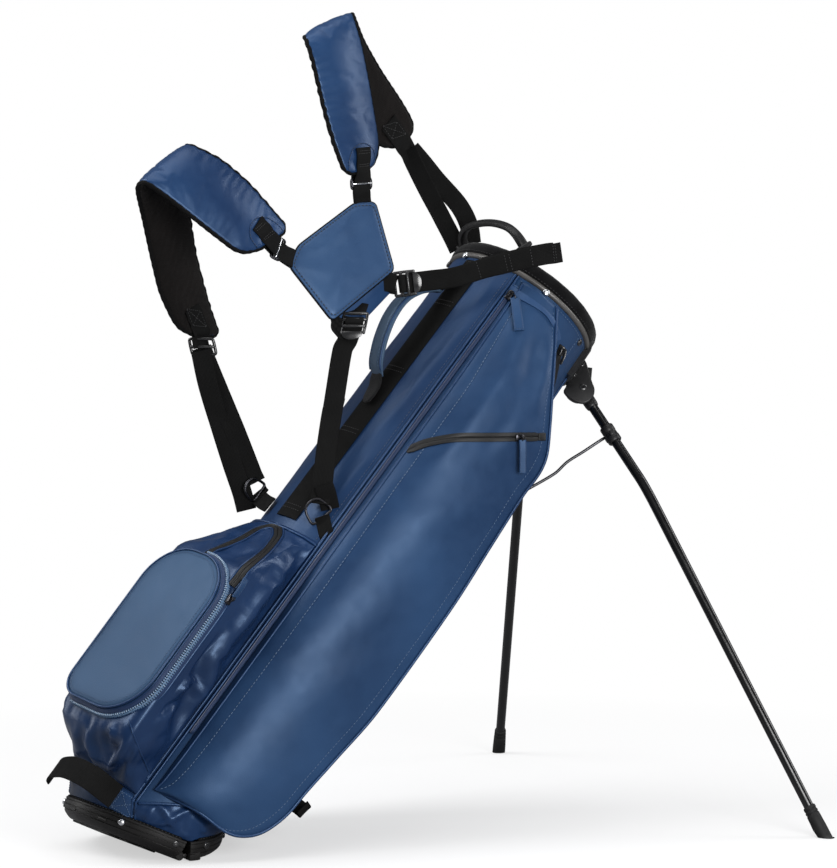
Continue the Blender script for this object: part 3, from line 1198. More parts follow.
def ball_pocket():
    """Pocket cover with its seams; gives the cover."""
    fine = np.linspace(-61, 31.5, 1500) * DEG
    reach = np.array([outline_reach(a) for a in fine])
    lengths = arc(np.stack([reach * np.cos(fine), reach * np.sin(fine)], 1))
    angles = np.interp(np.linspace(0, lengths[-1], 96), lengths, fine)
    kernel = np.array([1, 3, 5, 3, 1], float)
    reach = np.array([outline_reach(a) for a in angles])
    reach = np.convolve(np.pad(reach, 2, mode="edge"), kernel / kernel.sum(), "valid")
    rays = np.cos(angles)[:, None] * OUTWARD + np.sin(angles)[:, None] * SIDEWAYS
    ray_angle = np.arctan2(rays @ FAR, rays @ BELOW)
    s = BALL_STATIONS[:, None]
    body = 1 / np.hypot(np.cos(ray_angle) / half_u(s), np.sin(ray_angle) / half_v(s))
    full = np.interp(BALL_STATIONS, *np.transpose(BALL_FULLNESS))[:, None]
    radius = (body + 3.5) * (1 - full) + np.maximum(reach, body + 3.5) * full
    axis = bag(s, 0, 0)
    outer, inner = axis + radius[..., None] * rays, axis + (body + 1.0)[..., None] * rays
    rel = outer - axis
    out, across = rel @ OUTWARD, rel @ SIDEWAYS
    normals = grid_normals(outer, rel)
    shape = outer.shape[:2]
    s = np.broadcast_to(s, shape)

    # pinned round the edges, under the lid, along its band and along the shoulder zip
    zip_gap = line_distance(outer.reshape(-1, 3), curve(SHOULDER_ZIP, 6))[0].reshape(shape)
    inside = np.minimum.reduce([s - 78, 322 - s, 76 - np.abs(across)])
    under_lid = ease((inside + 4) / 8) * (out > 150)
    band = ease((out - 150) / 10) * ease(np.minimum(s - 74, 326 - s) / 8)
    edges = 1 - np.minimum(from_ends(shape[0])[:, None], from_ends(shape[1])) / 2.0
    pin = np.clip(np.maximum.reduce([edges, under_lid, band, 0.9 * (zip_gap < 9)]), 0, 1)

    height = add_folds(noise(outer / 24.0, 41), outer,
                       [(pocket(*np.transpose(line)), *size) for line, *size in BALL_FOLDS], 0.22)
    seen, facing = sight(outer), ease((normals @ EYE - 0.02) / 0.15)
    for line, width, depth in BALL_CREASES:
        line = [(x, y, 0.0) for x, y in line]
        height = height + facing * fold(seen, line, width, depth, 0.22)
    height = height * (1 - pin)
    outer = outer + normals * np.clip(height * 1.4, -9, 9)[..., None]
    outer = settle("cloth_tmp", outer, pin, tube=False, pressure=0.3, frame_count=12, cap=4.0,
                   shrink=-0.010, stiff=8.0, bend=3.0)
    cover = Mesh().shell(outer, inner).put("ball_pocket_cover", SOFT_LEATHER, "ball_pocket",
                                           sharp=0)
    mesh = Mesh().tube(outer[-2] + normals[-2], 1.6)
    mesh.tube(outer[1:-1, 1] + normals[1:-1, 1] * 0.6, 1.5)
    ridge = curve(bag_line([(89.4, -153.4, -100.9), (66.4, -106.9, -96.2),
                            (44.4, -64.4, -91.3)]), 4)
    mesh.tube(drop_view(bvh_of(cover), ridge, 0.2)[0], 1.1)
    mesh.put("ball_pocket_seams", PIPING, sharp=0)
    return cover


ball_bvh = bvh_of(ball_pocket())

# The lid: a rounded rectangle from station 86 to 312
LID_MID, LID_HALF_LENGTH, LID_HALF_WIDTH = (86 + 312) / 2, (312 - 86) / 2, 66.0
# Corners: sign along s, sign sideways, radius, first angle
LID_CORNERS = ((1, 1, 58, 0), (-1, 1, 60, 90), (-1, -1, 28, 180), (1, -1, 56, 270))


def lid_outline(grow, count=150, low=0.0):
    """Outline as (s, sideways), grown outwards and stretched by low at the bottom."""
    parts = []
    for along, across, radius, start in LID_CORNERS:
        angle = (start + 90 * np.arange(15) / 14) * DEG
        parts.append(np.stack([
            LID_MID + along * (LID_HALF_LENGTH - radius) + (radius + grow) * np.cos(angle),
            across * (LID_HALF_WIDTH - radius) + (radius + grow) * np.sin(angle)], 1))
    outline = np.concatenate(parts)
    outline[:, 0] -= low * ease((135 - outline[:, 0]) / 50)
    return respace(outline, count)


def lid_loop(grow, height, low=0.0, count=150):
    outline = lid_outline(grow, count, low)
    return pocket(outline[:, 0], height, outline[:, 1])


def zipped_order(outline):
    """Indices of the part with the zip, leaving out where the lid folds."""
    s, across = outline.T
    fold_side = ((across < -30) & (s > 120)) | ((across < 0) & (s > 300)) | (across < -50)
    open_side = ~fold_side
    start = int(np.argmax(open_side & ~np.roll(open_side, 1)))
    order = np.roll(np.arange(len(outline)), -start)
    return order[open_side[order]]


# Crowned lid: (share of the outline, height)
LID_PROFILE = ((0.06, 190.7), (0.2, 190.8), (0.36, 190.8), (0.52, 190.7), (0.66, 190.5),
               (0.78, 190.2), (0.87, 189.7), (0.93, 189.0), (0.965, 188.2), (0.99, 187.0),
               (1.0, 185.4), (1.0, 181.0), (0.985, 178.6), (0.9, 178.0), (0.4, 178.0))
# Bands: (growth, height, and for rings the stretch at the bottom)
LID_TAPE = ((1.0, 184.4), (2.6, 183.8), (4.6, 181.6), (6.0, 178.6), (5.4, 177.8), (1.0, 179.0))
POCKET_TAPE = ((4.2, 174.4), (6.2, 174.8), (6.6, 172.6, 1), (6.2, 168.4, 3), (5.6, 165.6, 4.5),
               (4.0, 165.0, 4.5), (2.0, 168.5, 2), (2.0, 173.0))
POCKET_BINDING = ((4.6, 167.2, 4), (6.0, 166.8, 4.2), (6.9, 165.4, 5), (6.6, 163.8, 5.6),
                  (5.2, 163.2, 6), (4.0, 164.8, 5))
TOOTH_PITCH = 3.1


def ball_lid():
    centre = np.array([LID_MID, 0.0])
    rings = []
    for share, height in LID_PROFILE:
        outline = centre + (lid_outline(0) - centre) * share
        ring = pocket(outline[:, 0], height, outline[:, 1])
        if height > 186:
            ring = ring + (0.45 * noise(ring / 42.0, 51, 2))[:, None] * OUTWARD
        rings.append(ring)
    Mesh().loft(rings).put("ball_lid_panel", LID_LEATHER, "ball_pocket_lid", body="pocket_lid",
                           sharp=0)
    mesh = Mesh().tube(lid_loop(0.4, 187.2), 1.5, closed=True)
    mesh.tube(lid_loop(1.7, 184.2), 1.0, 6, closed=True)
    mesh.put("ball_lid_piping", PIPING, body="pocket_lid", slot="lid_skin", sharp=0)
    row = lid_loop(-5.6, 189.75)
    Mesh().stitches(np.concatenate([row, row[:1]]), 0.28, 2.6, 1.6, OUTWARD).put(
        "ball_lid_stitches", THREAD, body="pocket_lid")


def lid_bands():
    order = zipped_order(lid_outline(4.0, 300))
    rows = [lid_loop(*row, count=300)[order] for row in LID_TAPE]
    Mesh().grid(np.stack(rows, 1), loop_cols=True, caps=True).put(
        "lid_zip_tape", ZIP_TAPE, body="pocket_lid", sharp=0)
    for name, profile, mat in (("pocket_zip_tape", POCKET_TAPE, ZIP_TAPE),
                               ("pocket_zip_binding", POCKET_BINDING, PIPING)):
        loops = np.stack([lid_loop(*row) for row in profile])
        Mesh().grid(loops, loop_rows=True, loop_cols=True, row_uv=np.arange(len(loops) + 1) * 2.0,
                    col_uv=np.arange(151) * 4.2).put(name, mat, sharp=0)


def lid_teeth():
    """Teeth, half on the lid and half on the pocket."""
    line = lid_loop(6.6, 176.6, count=600)[zipped_order(lid_outline(6.6, 600))]
    along = tangents(line)
    out = unit(np.cross(along, OUTWARD))
    out *= np.sign(((line - pocket(LID_MID, 176, 0)) * out).sum(1, keepdims=True))
    lengths = arc(line)
    for tag, body, start, up in (("lid", "pocket_lid", 0.0, 1.0), ("root", "root", 0.5, -1.0)):
        mesh = Mesh()
        for k in np.arange(start, lengths[-1] / TOOTH_PITCH - 1, 1.0):
            at, tooth_along, tooth_out = (sample(k * TOOTH_PITCH, lengths, rows)
                                          for rows in (line, along, out))
            tooth_out = unit(tooth_out)
            mesh.block(at + up * 1.5 * OUTWARD + 0.3 * tooth_out, tooth_along, OUTWARD,
                       tooth_out, (1.9, 4.8, 3.0), 0.5)
        mesh.put("zip_teeth_" + tag, TEETH, body=body, sharp=60)
    Mesh().block(pocket(90, 170, -44), ALONG, SIDEWAYS, OUTWARD, (5, 9, 8), 1.2).put(
        "zip_end_tab", PATCH, slot="zip_tape")


ball_lid()
lid_bands()
lid_teeth()

at = pocket(276, 171.0, 74.0)
mesh = Mesh()
zip_slider(mesh, at, -ALONG, SIDEWAYS, 0.95)
mesh.put("pocket_slider_metal", BLACK_METAL, "ball_zip_slider", body="pocket_slider")
# (along, outward, sideways) from the pull's root
hang = at + SIDEWAYS * 4.4 + ALONG * 4 + np.array(
    [(0, 0, 0), (8, 1, 1.5), (18, 1, 1), (27, 0.5, -1.5)]) @ np.array([ALONG, OUTWARD, SIDEWAYS])
pull_tab("pocket_pull_leather", hang, OUTWARD - 0.4 * ALONG, 8.0, 2.6, "pocket_slider")

# U-shaped coated zip on the pocket's shoulder
SHOULDER_HALF = 5.2
SHOULDER_SECTION = list(zip(COATED_XS, (0.1, 1.2, 1.5, 1.9, 1.6, 0.7, 1.6, 1.9, 1.5, 1.2, 0.1)))
path = curve(SHOULDER_ZIP, 3.2)
path, normals = project(ball_bvh, path, -unit(path - bag(path @ ALONG, -20, -10)), 0.4, 25)
path, normals = smooth(path, 3), smooth(normals, 3, normalise=True)
Mesh().strip(path, normals, SHOULDER_HALF, SHOULDER_SECTION, 1.2).put(
    "shoulder_zip_tape", COATED, sharp=50)
across = unit(np.cross(tangents(path), normals))
mesh = Mesh()
for side in (-1, 1):
    mesh.tube(path + across * (SHOULDER_HALF + 1.3) * side + normals * 0.3, 1.3, 6)
mesh.put("shoulder_zip_edges", SOFT_LEATHER, sharp=0)

# ---------------------------------------------------------------- hinged base
# Wall of both trays: (height, inset)
TRAY_PROFILE = [
    (0, 16), (0.5, 14.0), (1.5, 11.8), (3, 9.4), (5.5, 5.8), (8.0, 3.6), (8.7, 3.2), (9.0, 4.0),
    (9.5, 4.0), (9.8, 2.7), (12.0, 1.7), (14.6, 1.1), (15.0, 1.9), (15.5, 1.9), (15.9, 0.8),
    (18.0, 0.4), (20.4, 0.3), (20.8, 1.0), (21.2, 1.0), (21.6, 0.1), (23.2, 0.0), (24.0, 0.7),
    (24.0, 3.4), (22.8, 4.4), (6.5, 9.6), (6, 12)]
HINGE_PIN = np.array([0, 0, 6.0])
SCREW_HEIGHT = 17
# Turned profiles: (radius, height)
BRIGHT_SCREW = [(0, -1), (3.9, -1), (4.2, 0.6), (3.6, 2.0), (2.2, 2.7), (0, 2.9)]
DARK_SCREW = [(0, -1), (4.4, -1), (4.6, 1.0), (3.4, 2.4), (1.8, 2.5), (1.6, 1.8), (0, 1.7)]


def tray_ring(length, sign, height, inset):
    t = np.linspace(-90, 90, 73) * DEG
    return np.stack([sign * (8 + inset * 0.2 + (length - 8 - inset * 1.2) * np.cos(t)),
                     (109 - inset) * np.sin(t), np.full(73, float(height))], 1)


def knuckles(mesh, spans, sign, place):
    """Hinge barrels, each with a block joining it to its tray."""
    for start, end in spans:
        mesh.lathe([(0, start), (4.6, start), (5.6, start + 0.8), (5.6, end - 0.8), (4.6, end),
                    (0, end)], HINGE_PIN, FAR)
        mesh.block(place([sign * 9.0, (start + end) / 2, 5.4]), place([1, 0, 0]), FAR,
                   place([0, 0, 1]), (12, end - start, 5), 0.7)


def base_trays():
    mesh = Mesh().loft([tilt(tray_ring(112, -1, *row)) for row in TRAY_PROFILE])
    knuckles(mesh, [(-61, -21), (21, 61)], -1, tilt)
    for start, end, half_y in ((24, 40, 74), (44, 60, 66), (64, 79, 52)):    # sole slabs
        mesh.block(tilt([-(start + end) / 2, 0, -0.9]), REAR_X, FAR, REAR_UP,
                   (end - start, 2 * half_y, 2.4), 0.8)
    for angle in (-30 * DEG, 0, 30 * DEG):                              # lugs on the wall
        c, s = math.cos(angle), math.sin(angle)
        out = tilt(unit([-c / 103, s / 109, 0]))
        mesh.block(tilt([-(8 + 103 * c), 108.6 * s, 12.0]) - out * 0.9, np.cross(REAR_UP, out),
                   REAR_UP, out, (12, 3.4, 2.0))
    mesh.put("base_rear_tray", BASE_PLASTIC, "base_shell", sharp=35)
    mesh = Mesh().loft([tray_ring(91, 1, *row) for row in TRAY_PROFILE])
    knuckles(mesh, [(-96, -62), (62, 96), (-20, 20)], 1, np.asarray)
    mesh.block([6, 0, 2.5], [1, 0, 0], FAR, UP, (18, 40, 5), 0.5)
    for y in (-98.5, 98.5):
        mesh.block([16, y, 9], [1, 0, 0], FAR, UP, (15, 13, 17.6), 1.6)
    mesh.put("base_front_tray", BASE_PLASTIC, "base_foot", body="foot", sharp=35)


def base_bindings():
    """Sewn binding where the cloth enters the rims."""
    for name, ends, body in (("front", (-83, 83), "foot"), ("rear", (98, 262), "root")):
        angles = np.linspace(*ends, 130)
        mesh = Mesh().tube(rim_point(angles, 0.2, 0.6),
                           2.5 + 0.35 * np.abs(np.sin(np.arange(130) * 0.9)))
        mesh.stitches(rim_point(angles, -1.9, -0.5), 0.5, 2.6, 2.0, mat=1)
        mesh.put("rim_binding_" + name, [BINDING, BLACK_THREAD], body=body, sharp=0)


def rear_screw(mesh, profile, inner, outer, side, off, sides):
    """Screw at inner (back, y), pointing towards outer."""
    at = rear_rim(inner[0], side * inner[1], SCREW_HEIGHT)
    out = unit(rear_rim(outer[0], side * outer[1], SCREW_HEIGHT) - at)
    mesh.lathe(profile, at + out * off, out, sides)


def base_screws():
    mesh = Mesh()
    for side in (-1, 1):
        rear_screw(mesh, BRIGHT_SCREW, (84, 79), (134, 161), side, 0.3, 20)
    mesh.put("base_screws_bright", STEEL, "base_screw_near", "base_screw_far", sharp=50)
    mesh = Mesh()
    for back, y in ((47, 96), (20, 106)):
        for side in (-1, 1):
            rear_screw(mesh, DARK_SCREW, (back, y), (back + back * 0.9, y + 90), side, 0.2, 18)
    mesh.put("base_screws_dark", GLOSSY, slot="base_plastic", sharp=50)
    mesh = Mesh()
    for degrees in (-74, 74, -30, 30):
        c, s = math.cos(degrees * DEG), math.sin(degrees * DEG)
        out = unit([c / 82, s / 109, 0])
        mesh.lathe(DARK_SCREW, np.array([8 + 83 * c, 109 * s, 17.5]) - out * 0.4, out, 18)
    mesh.put("base_screws_front", GLOSSY, body="foot", slot="base_plastic", sharp=50)


base_trays()
base_bindings()
base_screws()

# webbing loop round the spine side of the base, with a sewn patch at each end
Mesh().ribbon(bag_line([
    (12, -100, -84), (12, -107, -82), (13, -116, -75), (15, -126, -60), (16, -134, -36),
    (16, -136, -6), (15, -131, 22), (13, -124, 48), (12, -114, 68), (12, -106, 78)]),
    ALONG, 31, 2.6, 4, 0.5, 5).put("grab_webbing", WEB, "grab_handle", body="grab")
spine_bvh = bvh_of(spine)


def sewn_patch(name, corners, inward, bvh, lift, cross=True):
    """Leather patch laid on a mesh, with a stitched box and a cross."""
    n, margin = 12, 0.13
    a, b = np.meshgrid(np.linspace(0, 1, n), np.linspace(0, 1, n), indexing="ij")
    shares = ((1 - a) * (1 - b), a * (1 - b), a * b, (1 - a) * b)
    flat = sum(corner * share[..., None] for corner, share in zip(corners, shares))
    points, normals = (rows.reshape(n, n, 3)
                       for rows in project(bvh, flat.reshape(-1, 3), inward, 0.0, 30))
    for _ in range(3):
        normals[1:-1, 1:-1] = unit(normals[:-2, 1:-1] + normals[2:, 1:-1]
                                   + normals[1:-1, :-2] + normals[1:-1, 2:])
    rise = 0.5 + lift * ease(np.minimum.reduce([a, 1 - a, b, 1 - b]) / 0.1)
    mesh = Mesh().shell(points + normals * rise[..., None], points - normals * 0.8)
    low, high = margin, 1 - margin
    box = [(low, low), (high, low), (high, high), (low, high)]
    lines = list(zip(box, box[1:] + box[:1]))
    if cross:
        lines += [(box[0], box[2]), (box[3], box[1])]
    t = np.linspace(0, 1, 10)
    for start, end in lines:
        i, j = ((start[k] + (end[k] - start[k]) * t) * (n - 1) for k in (0, 1))
        row = bilinear(points, i, j) + bilinear(normals, i, j) * (0.5 + lift + 0.1)
        mesh.stitches(row, 0.42, 2.2, 1.1, -inward, mat=1)
    mesh.put(name, [PATCH, LIGHT_THREAD], sharp=60)


for name, side in (("grab_patch", -1), ("grab_patch_far", 1)):
    sewn_patch(name, [bag(s, u, side * v) for s, u, v in ((1.5, -93, 58), (27, -88, 66),
                                                          (27, -66, 88), (1.5, -64, 88))],
               unit(BELOW * 0.6 - side * FAR * 0.6), spine_bvh, 1.6)
Mesh().ribbon(bag_line([(150, 112.6, -62), (149, 117, -68), (148, 123, -75), (147, 124.5, -80),
                        (147, 120, -86), (148, 113, -88)]),
              ALONG + 0.2 * BELOW, 20, 2.2, 2.5, 0.2, 8).put(
    "underside_loop_webbing", WEB, "underside_loop")

# ---------------------------------------------------------------- cuff, rim, dividers
# Sections round the cuff: (s, outwards)
TRIM_SECTION = [(848.4, -8), (848.4, 1.6), (849.6, 3.9), (852.0, 4.7), (854.6, 3.8), (855.0, 1),
                (855.0, -8)]
RIM_SECTION = [(855.6, -9), (855.6, 3.6), (858, 5.3), (862, 6.0), (866.5, 5.6), (870.5, 3.8),
               (873.2, 0.6), (873.8, -3.2), (872.6, -7.5), (868, -10.5), (861, -11)]
# Turned profiles: (radius, height)
BRIGHT_RIVET = [(0, -2), (4.6, -2), (4.8, -0.4), (4.2, 1.0), (2.4, 1.9), (1.6, 1.9), (1.5, 1.3),
                (0, 1.2)]
DARK_RIVET = [(0, -2), (4.4, -2), (4.7, 0.6), (3.9, 1.6), (2.4, 2.2), (1.5, 2.2), (1.4, 1.5),
              (0, 1.4)]


def cuff():
    s, off = curve(TRIM_SECTION, closed=True, count=21).T
    angles = np.linspace(0, 360, 160, endpoint=False)[:, None]
    Mesh().grid(skin(s, angles, off), loop_rows=True, loop_cols=True).put(
        "cuff_trim_band", CUFF_TRIM, "cuff_ring", sharp=50)
    s, off = curve(RIM_SECTION, closed=True, count=31).T
    angles = np.linspace(0, 360, 200, endpoint=False)[:, None]
    grid = skin(s, angles, off)
    normals = unit(grid - grid.mean(1, keepdims=True))
    puckers = 0.25 * np.sin(angles * DEG * 46) * np.clip(1 - np.abs(s - 858) / 5, 0, 1)
    height = 0.35 * noise(grid / 14.0, 61) + puckers
    grid = grid + normals * np.clip(height, -0.8, 0.5)[..., None]
    Mesh().grid(grid, loop_rows=True, loop_cols=True).put(
        "cuff_rim_velour", VELOUR, "cuff_pad", sharp=0)
    angles = np.linspace(0, 360, 200)
    Mesh().stitches(skin(857.2, angles, 5.1), 0.4, 2.6, 2.2, skin_normal(860.0, angles)).put(
        "cuff_rim_stitches", BLACK_THREAD)
    mesh = Mesh()
    for angle in (-108, 108, 180):
        mesh.lathe(BRIGHT_RIVET, skin(849.5, angle, 4.3), skin_normal(849.5, angle), 22)
    mesh.put("cuff_rivets_bright", STEEL, sharp=50)
    mesh = Mesh()
    for s, angle, off in ((840, -57, 0.6), (840, 57, 0.6), (846, -150, 2.6), (846, 150, 2.6)):
        mesh.lathe(DARK_RIVET, skin(s, angle, off), skin_normal(s, angle), 22)
    mesh.put("cuff_rivets_dark", GLOSSY, sharp=50)


def dividers():
    """Crossed padded bars over a full-height sheet."""
    centre = bag(867, 0, 0)
    mesh = Mesh()
    mesh.block(centre, BELOW, FAR, ALONG, (2 * (half_u(868) - 12.2), 12, 14), 4.5)
    mesh.block(centre, BELOW, FAR, ALONG, (12.2, 2 * (half_v(868) - 12.2), 13.8), 4.5)
    mesh.put("divider_bars", VELOUR, "divider_frame", sharp=60)
    s, v = np.meshgrid(np.linspace(61, 859, 60), np.linspace(-97.5, 97.5, 24), indexing="ij")
    wave = 1.6 * np.sin(v / 32.0 + s / 160.0) * ease((98 - np.abs(v)) / 20)
    Mesh().shell(bag(s, 0.8 + wave, v), bag(s, -0.8 + wave, v)).put(
        "divider_cloth", LINING, "divider_sheet", sharp=0)


def lift_handle():
    half = [(886.0, -80, 72), (889.5, -88, 69), (893.5, -95.5, 63), (898, -102, 50),
            (901, -106, 28)]
    path = curve(bag_line(half + [(902.5, -107, 0)] + [(s, u, -v) for s, u, v in half[::-1]]), 3.5)
    along = tangents(path)
    across = square_to(-0.55 * BELOW - 0.8 * ALONG, along)
    normals = np.cross(along, across)
    angle = turn(20)
    slim = ease(from_ends(len(path)) / 9.0)[:, None]
    mesh = Mesh().loft(sweep(path, across, normals,
                             signed_pow(np.cos(angle), 0.62) * (6.4 - 1.0 * slim),
                             signed_pow(np.sin(angle), 0.62) * (5.0 - 0.7 * slim)))
    mesh.tube(path[14:-14] + normals[14:-14] * 4.2, 0.9, 6)
    for end, sign in ((0, 1), (-1, -1)):
        mesh.block(path[end] - along[end] * sign, across[end], normals[end], along[end],
                   (19, 13, 6.5), 1.6)
    mesh.put("lift_handle", MOULDED, "top_handle", sharp=45)


cuff()
dividers()
lift_handle()

# ---------------------------------------------------------------- legs
# Near side values; the far side is mirrored in y.
LEG_PIVOT = bag(812, 122, -49)
PIVOT_AXIS = unit(-0.576 * BELOW - 0.817 * FAR)
LEG_CLIP, LEG_BEND, LEG_FOOT = (624.9, -94, 491.3), (642.3, -146.8, 426.7), (754.8, -376.7, 0)
MIRRORS = (("near", -1, np.array([1, 1, 1])), ("far", 1, np.array([1, -1, 1])))
COLLAR_PROFILE = [(6.4, -12.5), (8.4, -12.5), (9.2, -11.4), (9.2, -4), (8.7, -3.4), (8.7, 3.0),
                  (9.3, 3.8), (9.3, 10.6), (8.4, 12.0), (6.4, 12.0)]
# Socket rings: distance down the leg, half widths, squareness power
SOCKET_RINGS = ((2, 5.6, 8.0, 0.4), (10, 5.8, 8.2, 0.45), (16, 7.0, 8.4, 0.6),
                (24, 7.8, 8.4, 0.85), (27.5, 7.6, 7.9, 1), (28.5, 6.9, 7.0, 1))
# Rubber foot: (distance past the leg's end, radius)
FOOT_PROFILE = ((-43, 6.6), (-42.5, 7.6), (-41, 8.1), (-38.6, 8.2), (-38, 7.6), (-36.8, 7.6),
                (-36.2, 8.3), (-33.8, 8.4), (-33.2, 7.8), (-32, 7.8), (-31.4, 8.5), (-22, 8.8),
                (-14, 9.1), (-2, 9.2), (6, 9.0), (12, 8.2))
# Bracket plate: (along the bag, below), then (height, share of the outline)
PLATE_OUTLINE = [(33, -25), (14, -27.0), (-2, -24), (-10.6, -19), (-19.0, -17.5), (-22.6, -8),
                 (-21.6, 6), (-15, 15.5), (-3.6, 18.0), (6.5, 14.0), (13.1, 5.9), (24, -6.5),
                 (32.5, -17)]
PLATE_LAYERS = ((9.1, 0.93), (9.3, 0.98), (10.2, 1.0), (12.6, 1.0), (13.6, 0.97), (13.9, 0.92))


def leg(tag, flip):
    body = tag + "_leg"
    pivot, pin = LEG_PIVOT * flip, PIVOT_AXIS * flip
    clip, bend, foot = LEG_CLIP * flip, LEG_BEND * flip, LEG_FOOT * flip
    up, down = unit(bend - pivot), unit(foot - bend)        # both run away from the pivot
    normal = unit(np.cross(pin, up))
    second = unit(np.cross(normal, up))
    Mesh().tube(curve([pivot + up * 27, pivot + up * 90, bend - up * 24,
                       bend - up * 7 + down * 2, bend + down * 22, bend + down * 120,
                       foot - down * 20], 6), 6.35, 28).put(
        "leg_tube_" + tag, LEG_GLOSS, "leg_" + tag, body=body, sharp=0)

    # collar with the ear that takes the strut wire
    mesh = Mesh().lathe(COLLAR_PROFILE, clip, up, 28)
    mesh.block(clip - pin * 11.2, pin, up, normal, (9.5, 9.5, 8.5), 1.8)
    mesh.lathe([(0, -5.4), (4.2, -5.4), (4.8, -4.4), (4.8, 4.4), (4.2, 5.4), (0, 5.4)],
               clip - pin * 15.2, normal, 20)
    mesh.lathe([(0, 0), (3.2, 0), (3.4, 0.8), (2.6, 1.6), (0, 1.7)],
               clip + pin * 9.0 + up * 0.5, pin, 16)
    mesh.put("leg_collar_" + tag, MOULDED, "leg_clip_" + tag, body=body, sharp=45)

    mesh = Mesh().lathe([(0, -8.6), (8.2, -8.6), (9.4, -7.6), (9.4, 7.6), (8.2, 8.6), (0, 8.6)],
                        pivot, pin, 28)
    angle = turn(24)
    mesh.loft([sweep(pivot + up * d, second, normal, signed_pow(np.cos(angle), power) * wide,
                     signed_pow(np.sin(angle), power) * deep)
               for d, wide, deep, power in SOCKET_RINGS])
    mesh.put("leg_socket_" + tag, MOULDED, "leg_fitting_" + tag, body=body, sharp=45)

    angle = turn(26)
    rings = np.stack([sweep(foot + down * d, normal, np.cross(down, normal), r * np.cos(angle),
                            r * np.sin(angle)) for d, r in FOOT_PROFILE])
    rings[..., 2] = np.maximum(rings[..., 2], 0)            # flattened on the ground
    Mesh().loft(rings).put("leg_foot_rubber_" + tag, RUBBER, "leg_foot_" + tag, body=body,
                           sharp=50)

    # bracket plates, square to the hinge pin; the one behind is smaller
    plate_along, plate_below = square_to(ALONG, pin), square_to(BELOW, pin)
    outline = curve(PLATE_OUTLINE, closed=True, count=57)
    mesh = Mesh()
    for face in (1, -1):
        rings = []
        for height, share in PLATE_LAYERS:
            q = outline * share + (1 - share) * np.array([4, -4])
            if face < 0:
                q = q * 0.62 + np.array([-2, -3])
            rings.append(sweep(pivot + face * pin * height, plate_along, plate_below, *q.T))
        mesh.loft(rings)
    mesh.put("leg_bracket_plates_" + tag, MOULDED, sharp=45)
    mesh = Mesh()
    for x, y, r in ((0, 0, 4.6), (7.5, -19.0, 3.0), (25, -17.5, 2.6)):
        mesh.lathe([(0, 12), (r, 12), (r * 1.05, 14.2), (r * 0.8, 15.0), (r * 0.42, 15.1),
                    (r * 0.4, 14.4), (0, 14.3)], pivot + x * plate_along + y * plate_below,
                   pin, 20)
    mesh.put("leg_pivot_head_" + tag, GLOSSY, "pivot_pin_" + tag, slot="steel", sharp=50)


def strut_wire(tag, side, flip):
    """Wire from the push rod's yoke, hooked into the leg collar."""
    clip, pin = LEG_CLIP * flip, PIVOT_AXIS * flip
    hook = clip - pin * 14.5
    yoke = bag(600, 121, side * 13)
    run = yoke - hook
    turned = unit(np.cross(pin, unit(run)))
    points = [hook + turned * 4.5, hook - unit(run) * 3.4, hook - turned * 3.6 + unit(run) * 4]
    points += [hook + run * share + UP * rise
               for share, rise in ((0.2, 2.5), (0.32, 1.5), (0.42, -4.0), (0.7, -3.0))]
    Mesh().tube(curve(points + [yoke], 2.5), 1.95, 12).put(
        "strut_wire_bar_" + tag, WIRE, "strut_wire_" + tag, body="strut_" + tag, sharp=0)


for tag, side, flip in MIRRORS:
    leg(tag, flip)
mesh = Mesh().tube([bag(s, 121, 0) for s in (124, 560, 604)], 3.0, 16)
mesh.block(bag(600, 121, 0), ALONG, FAR, BELOW, (13, 23, 9), 2.2)
mesh.lathe([(0, -4), (5, -4), (5, 4), (0, 4)], bag(124, 121, 0), ALONG, 16)
mesh.put("push_rod_bar", WIRE, "activation_rod", body="push_rod", sharp=45)
for tag, side, flip in MIRRORS:
    strut_wire(tag, side, flip)


# ---------------------------------------------------------------- spine webbing, handle, rings
def spine_webbing():
    edge = np.array([0.3, 0.85] + [1] * 8 + [0.85, 0.3])
    s, angles = spaced(424, 843, 6)[:, None], np.linspace(-176.5, -157, 12)
    Mesh().shell(skin(s, angles, 1.0 + 1.9 * edge), skin(s, angles, 0.8)).put(
        "spine_webbing_strip", WEB, "spine_webbing", sharp=60)
    mesh = Mesh()
    angles = np.linspace(-175, -158.5, 14)
    for s in (436, 560, 660, 770, 834):
        for shift in (0, 6):
            mesh.stitches(skin(s + shift, angles, 3.1), 0.42, 2.4, 1.2, skin_normal(s, angles))
    mesh.put("spine_webbing_tacks", BLACK_THREAD)


